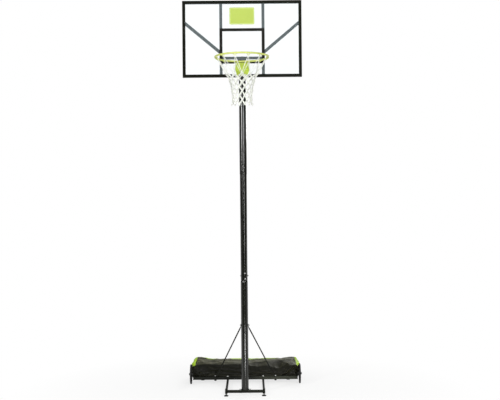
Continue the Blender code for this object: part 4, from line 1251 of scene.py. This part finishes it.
def makeWashers(s):
    bm = bmesh.new()
    inner, outer, height = s["washer"]
    rise, slope = s["washerShape"]
    overRail = ("rail_bolt_", railHigh.z, 1, 1.0)
    underTube = ("foot_bolt_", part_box("front_cross_tube")[0].z, -1, s["footWasher"])
    for name, face, sign, share in (overRail, underTube):
        near, far = inner * share, outer * share
        edge = [(far, height * rise), (far - height * slope, height)]
        for side in ("left", "right"):
            centre = boxCentre(name + side)
            centre.z = face + sign * s["washerGap"]
            profile = [(near, 0.0), (far, 0.0), *edge, (near, height)]
            latheAt(bm, centre, Vector((0, 0, sign)), profile, s["turnSteps"])
    addPiece("washers", bm, "zinc", "base", sharp=30.0)


makePlugs(fittings)
makeCaps(fittings)
makeWashers(fittings)
print("plugs, caps and washers made")


welds = {
    "bead": 0.0017,
    "sides": 7,
    "step": 0.0022,
    "ripple": 0.12,
    "touch": 0.0002,
    "mastUp": 0.0006,
    "mastOut": 0.0004,
    "mastSteps": 96,
    "tubeIn": 0.001,
    "barUp": 0.0001,
    "barEnds": (0.002, 0.024),
    "nut": (0.0098, 32),
    "headAside": 0.011,
    "headFront": 0.0008,
    "headEnds": (0.012, 0.006),
    "hoopAside": 0.004,
    "hoopRise": 0.0026,
    "hoopSteps": 20,
}


def beadAlong(bm, corners, s, closed=False):
    # a rippled weld bead along a run of corners
    corners = [Vector(c) for c in corners]
    runs = list(zip(corners, corners[1:])) + ([(corners[-1], corners[0])] if closed else [])
    route = []
    for a, b in runs:
        count = max(2, int((b - a).length / s["step"]))
        route += [a.lerp(b, k / count) for k in range(count)]
    if not closed:
        route.append(corners[-1])
    elif len(route) % 2:
        route.pop()
    tubeAlong(bm, route, s["bead"], s["sides"], closed, s["ripple"])


def makeBaseWelds(mastBase, mastRadius, s):
    bm = bmesh.new()
    centre = Vector((mastAxis.x, mastAxis.y, mastBase + s["mastUp"]))
    radius = mastRadius + s["mastOut"]
    beadAlong(bm, circlePoints(centre, Vector((0, 0, 1)), radius, s["mastSteps"]), s, True)
    for name in ("front_rail", "front_cross_tube"):
        low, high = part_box(name)
        for x in (low.x, high.x):
            around = [(low.y, low.z), (high.y, low.z), (high.y, high.z), (low.y, high.z)]
            beadAlong(bm, [(x, y, z) for y, z in around], s, True)
    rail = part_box("rear_rail")
    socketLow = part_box("foot_socket_left")[0].z
    inset = s["tubeIn"]
    for name in ("side_tube_left", "side_tube_right"):
        low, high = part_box(name)
        y, base = low.y, max(low.z, socketLow) + inset
        beadAlong(bm, [(low.x, y, base), (low.x, y, high.z), (high.x, y, high.z), (high.x, y, base)], s)
        z = high.z + s["touch"]
        for y in (rail[0].y, rail[1].y - inset):
            beadAlong(bm, [(low.x + inset, y, z), (high.x - inset, y, z)], s)
    near, far = s["barEnds"]
    for name in ("bag_bar_left", "bag_bar_right"):
        low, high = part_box(name)
        z = high.z + s["barUp"]
        for x in (low.x, high.x):
            for start, end in ((low.y + near, low.y + far), (high.y - far, high.y - near)):
                beadAlong(bm, [(x, start, z), (x, end, z)], s)
    addPiece("baseWelds", bm, "blackCoat", "base", sharp=60.0)


def makeHeadWelds(mastRadius, s):
    bm = bmesh.new()
    face = mastAxis.y - mastRadius - s["touch"]
    for name in ("height_bolt_upper", "height_bolt_lower"):
        centre = Vector((mastAxis.x, face, boxCentre(name).z))
        beadAlong(bm, circlePoints(centre, Vector((0, 1, 0)), *s["nut"]), s, True)
    low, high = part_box("head_bracket")
    below, above = s["headEnds"]
    y = mastAxis.y - math.sqrt(mastRadius ** 2 - s["headAside"] ** 2) - s["headFront"]
    for sign in (-1, 1):
        x = mastAxis.x + sign * s["headAside"]
        beadAlong(bm, [(x, y, low.z + below), (x, y, high.z - above)], s)
    addPiece("headWelds", bm, "blackCoat", "head", sharp=60.0)


def makeHoopWelds(s):
    bm = bmesh.new()
    low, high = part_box("rim_bracket")
    rimLow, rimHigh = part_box("rim")
    reach = (rimHigh.x - rimLow.x) / 2
    spread = math.asin(((high.x - low.x) / 2 - s["hoopAside"]) / reach)
    for z in (rimCentre.z + s["hoopRise"], rimCentre.z - s["hoopRise"]):
        turns = [math.pi - spread * k / s["hoopSteps"] for k in range(-s["hoopSteps"], s["hoopSteps"] + 1)]
        route = [ringPoint(turn, reach, z) for turn in turns]
        tubeAlong(bm, route, s["bead"], s["sides"], False, s["ripple"])
    addPiece("hoopWelds", bm, "limeCoat", "head", sharp=60.0)


mastLow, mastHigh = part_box("mast_lower")
mastRadius = (mastHigh.x - mastLow.x) / 2
makeBaseWelds(mastLow.z, mastRadius, welds)
makeHeadWelds(mastRadius, welds)
makeHoopWelds(welds)
print("welds made")


thread = {
    "stem": 0.0060,
    "pitch": 0.0016,
    "ends": (0.0125, 0.0232),
    "wire": 0.00042,
    "sides": 5,
    "steps": 18,
}


def makeThread(side, s):
    # the screw thread on a levelling foot's stem
    centre = boxCentre("levelling_foot_" + side)
    bottom, top = s["ends"]
    turns = (top - bottom) / s["pitch"]
    count = int(turns * s["steps"])
    route = []
    for k in range(count + 1):
        angle = 2 * math.pi * turns * k / count
        out = Vector((math.cos(angle), math.sin(angle), 0.0)) * s["stem"]
        route.append((centre.x + out.x, centre.y + out.y, bottom + (top - bottom) * k / count))
    bm = bmesh.new()
    tubeAlong(bm, route, s["wire"], s["sides"])
    addPiece("footThread" + side.capitalize(), bm, "zinc", "foot_" + side, sharp=60.0)


wheelTrim = {
    "middle": 0.014,
    "lugs": 54,
    "lug": (0.0030, 0.0108, 0.0004),
    "lugGap": 0.0004,
    "lugSunk": 0.0003,
    "lugSpare": 0.0006,
    "ribs": 5,
    "rib": (0.0030, 0.0042),
    "ribFace": 0.0042,
    "ribEnds": (0.0146, 0.0782),
    "ribBevel": 0.0007,
}


def makeWheelTrim(side, sign, s):
    # tread lugs round the tyre, in two rows, and ribs on both faces
    low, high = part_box("wheel_" + side)
    centre = (low + high) / 2
    centre.x = (high.x if sign > 0 else low.x) - sign * s["middle"]
    radius = (high.z - low.z) / 2
    bm = bmesh.new()

    def blockAt(turn, out, size, **bevel):
        matrix = Matrix.Translation(centre) @ Matrix.Rotation(turn, 4, "X") @ Matrix.Translation(out)
        addBlock(bm, matrix @ Matrix.Diagonal((*size, 1.0)), **bevel)

    wide, long, rise = s["lug"]
    for i in range(s["lugs"]):
        for row in (-1, 1):
            turn = 2 * math.pi * i / s["lugs"] + row * 0.5 * math.pi / s["lugs"]
            out = (row * (long / 4 + s["lugGap"]), 0.0, radius + rise / 2 - s["lugSunk"])
            blockAt(turn, out, (long / 2 - s["lugSpare"], wide, rise + s["lugSpare"]))
    inner, outer = s["ribEnds"]
    for face in (-1, 1):
        for i in range(s["ribs"]):
            out = (face * s["ribFace"], 0.0, (inner + outer) / 2)
            turn = 2 * math.pi * (i + 0.5) / s["ribs"]
            blockAt(turn, out, (*s["rib"], outer - inner), bevel=s["ribBevel"])
    name = "wheelTrim" + side.capitalize()
    addPiece(name, bm, "blackMoulding", "wheel_" + side, sharp=35.0)


makeThread("left", thread)
makeThread("right", thread)
makeWheelTrim("left", -1, wheelTrim)
makeWheelTrim("right", 1, wheelTrim)
print("threads and wheel trim made")
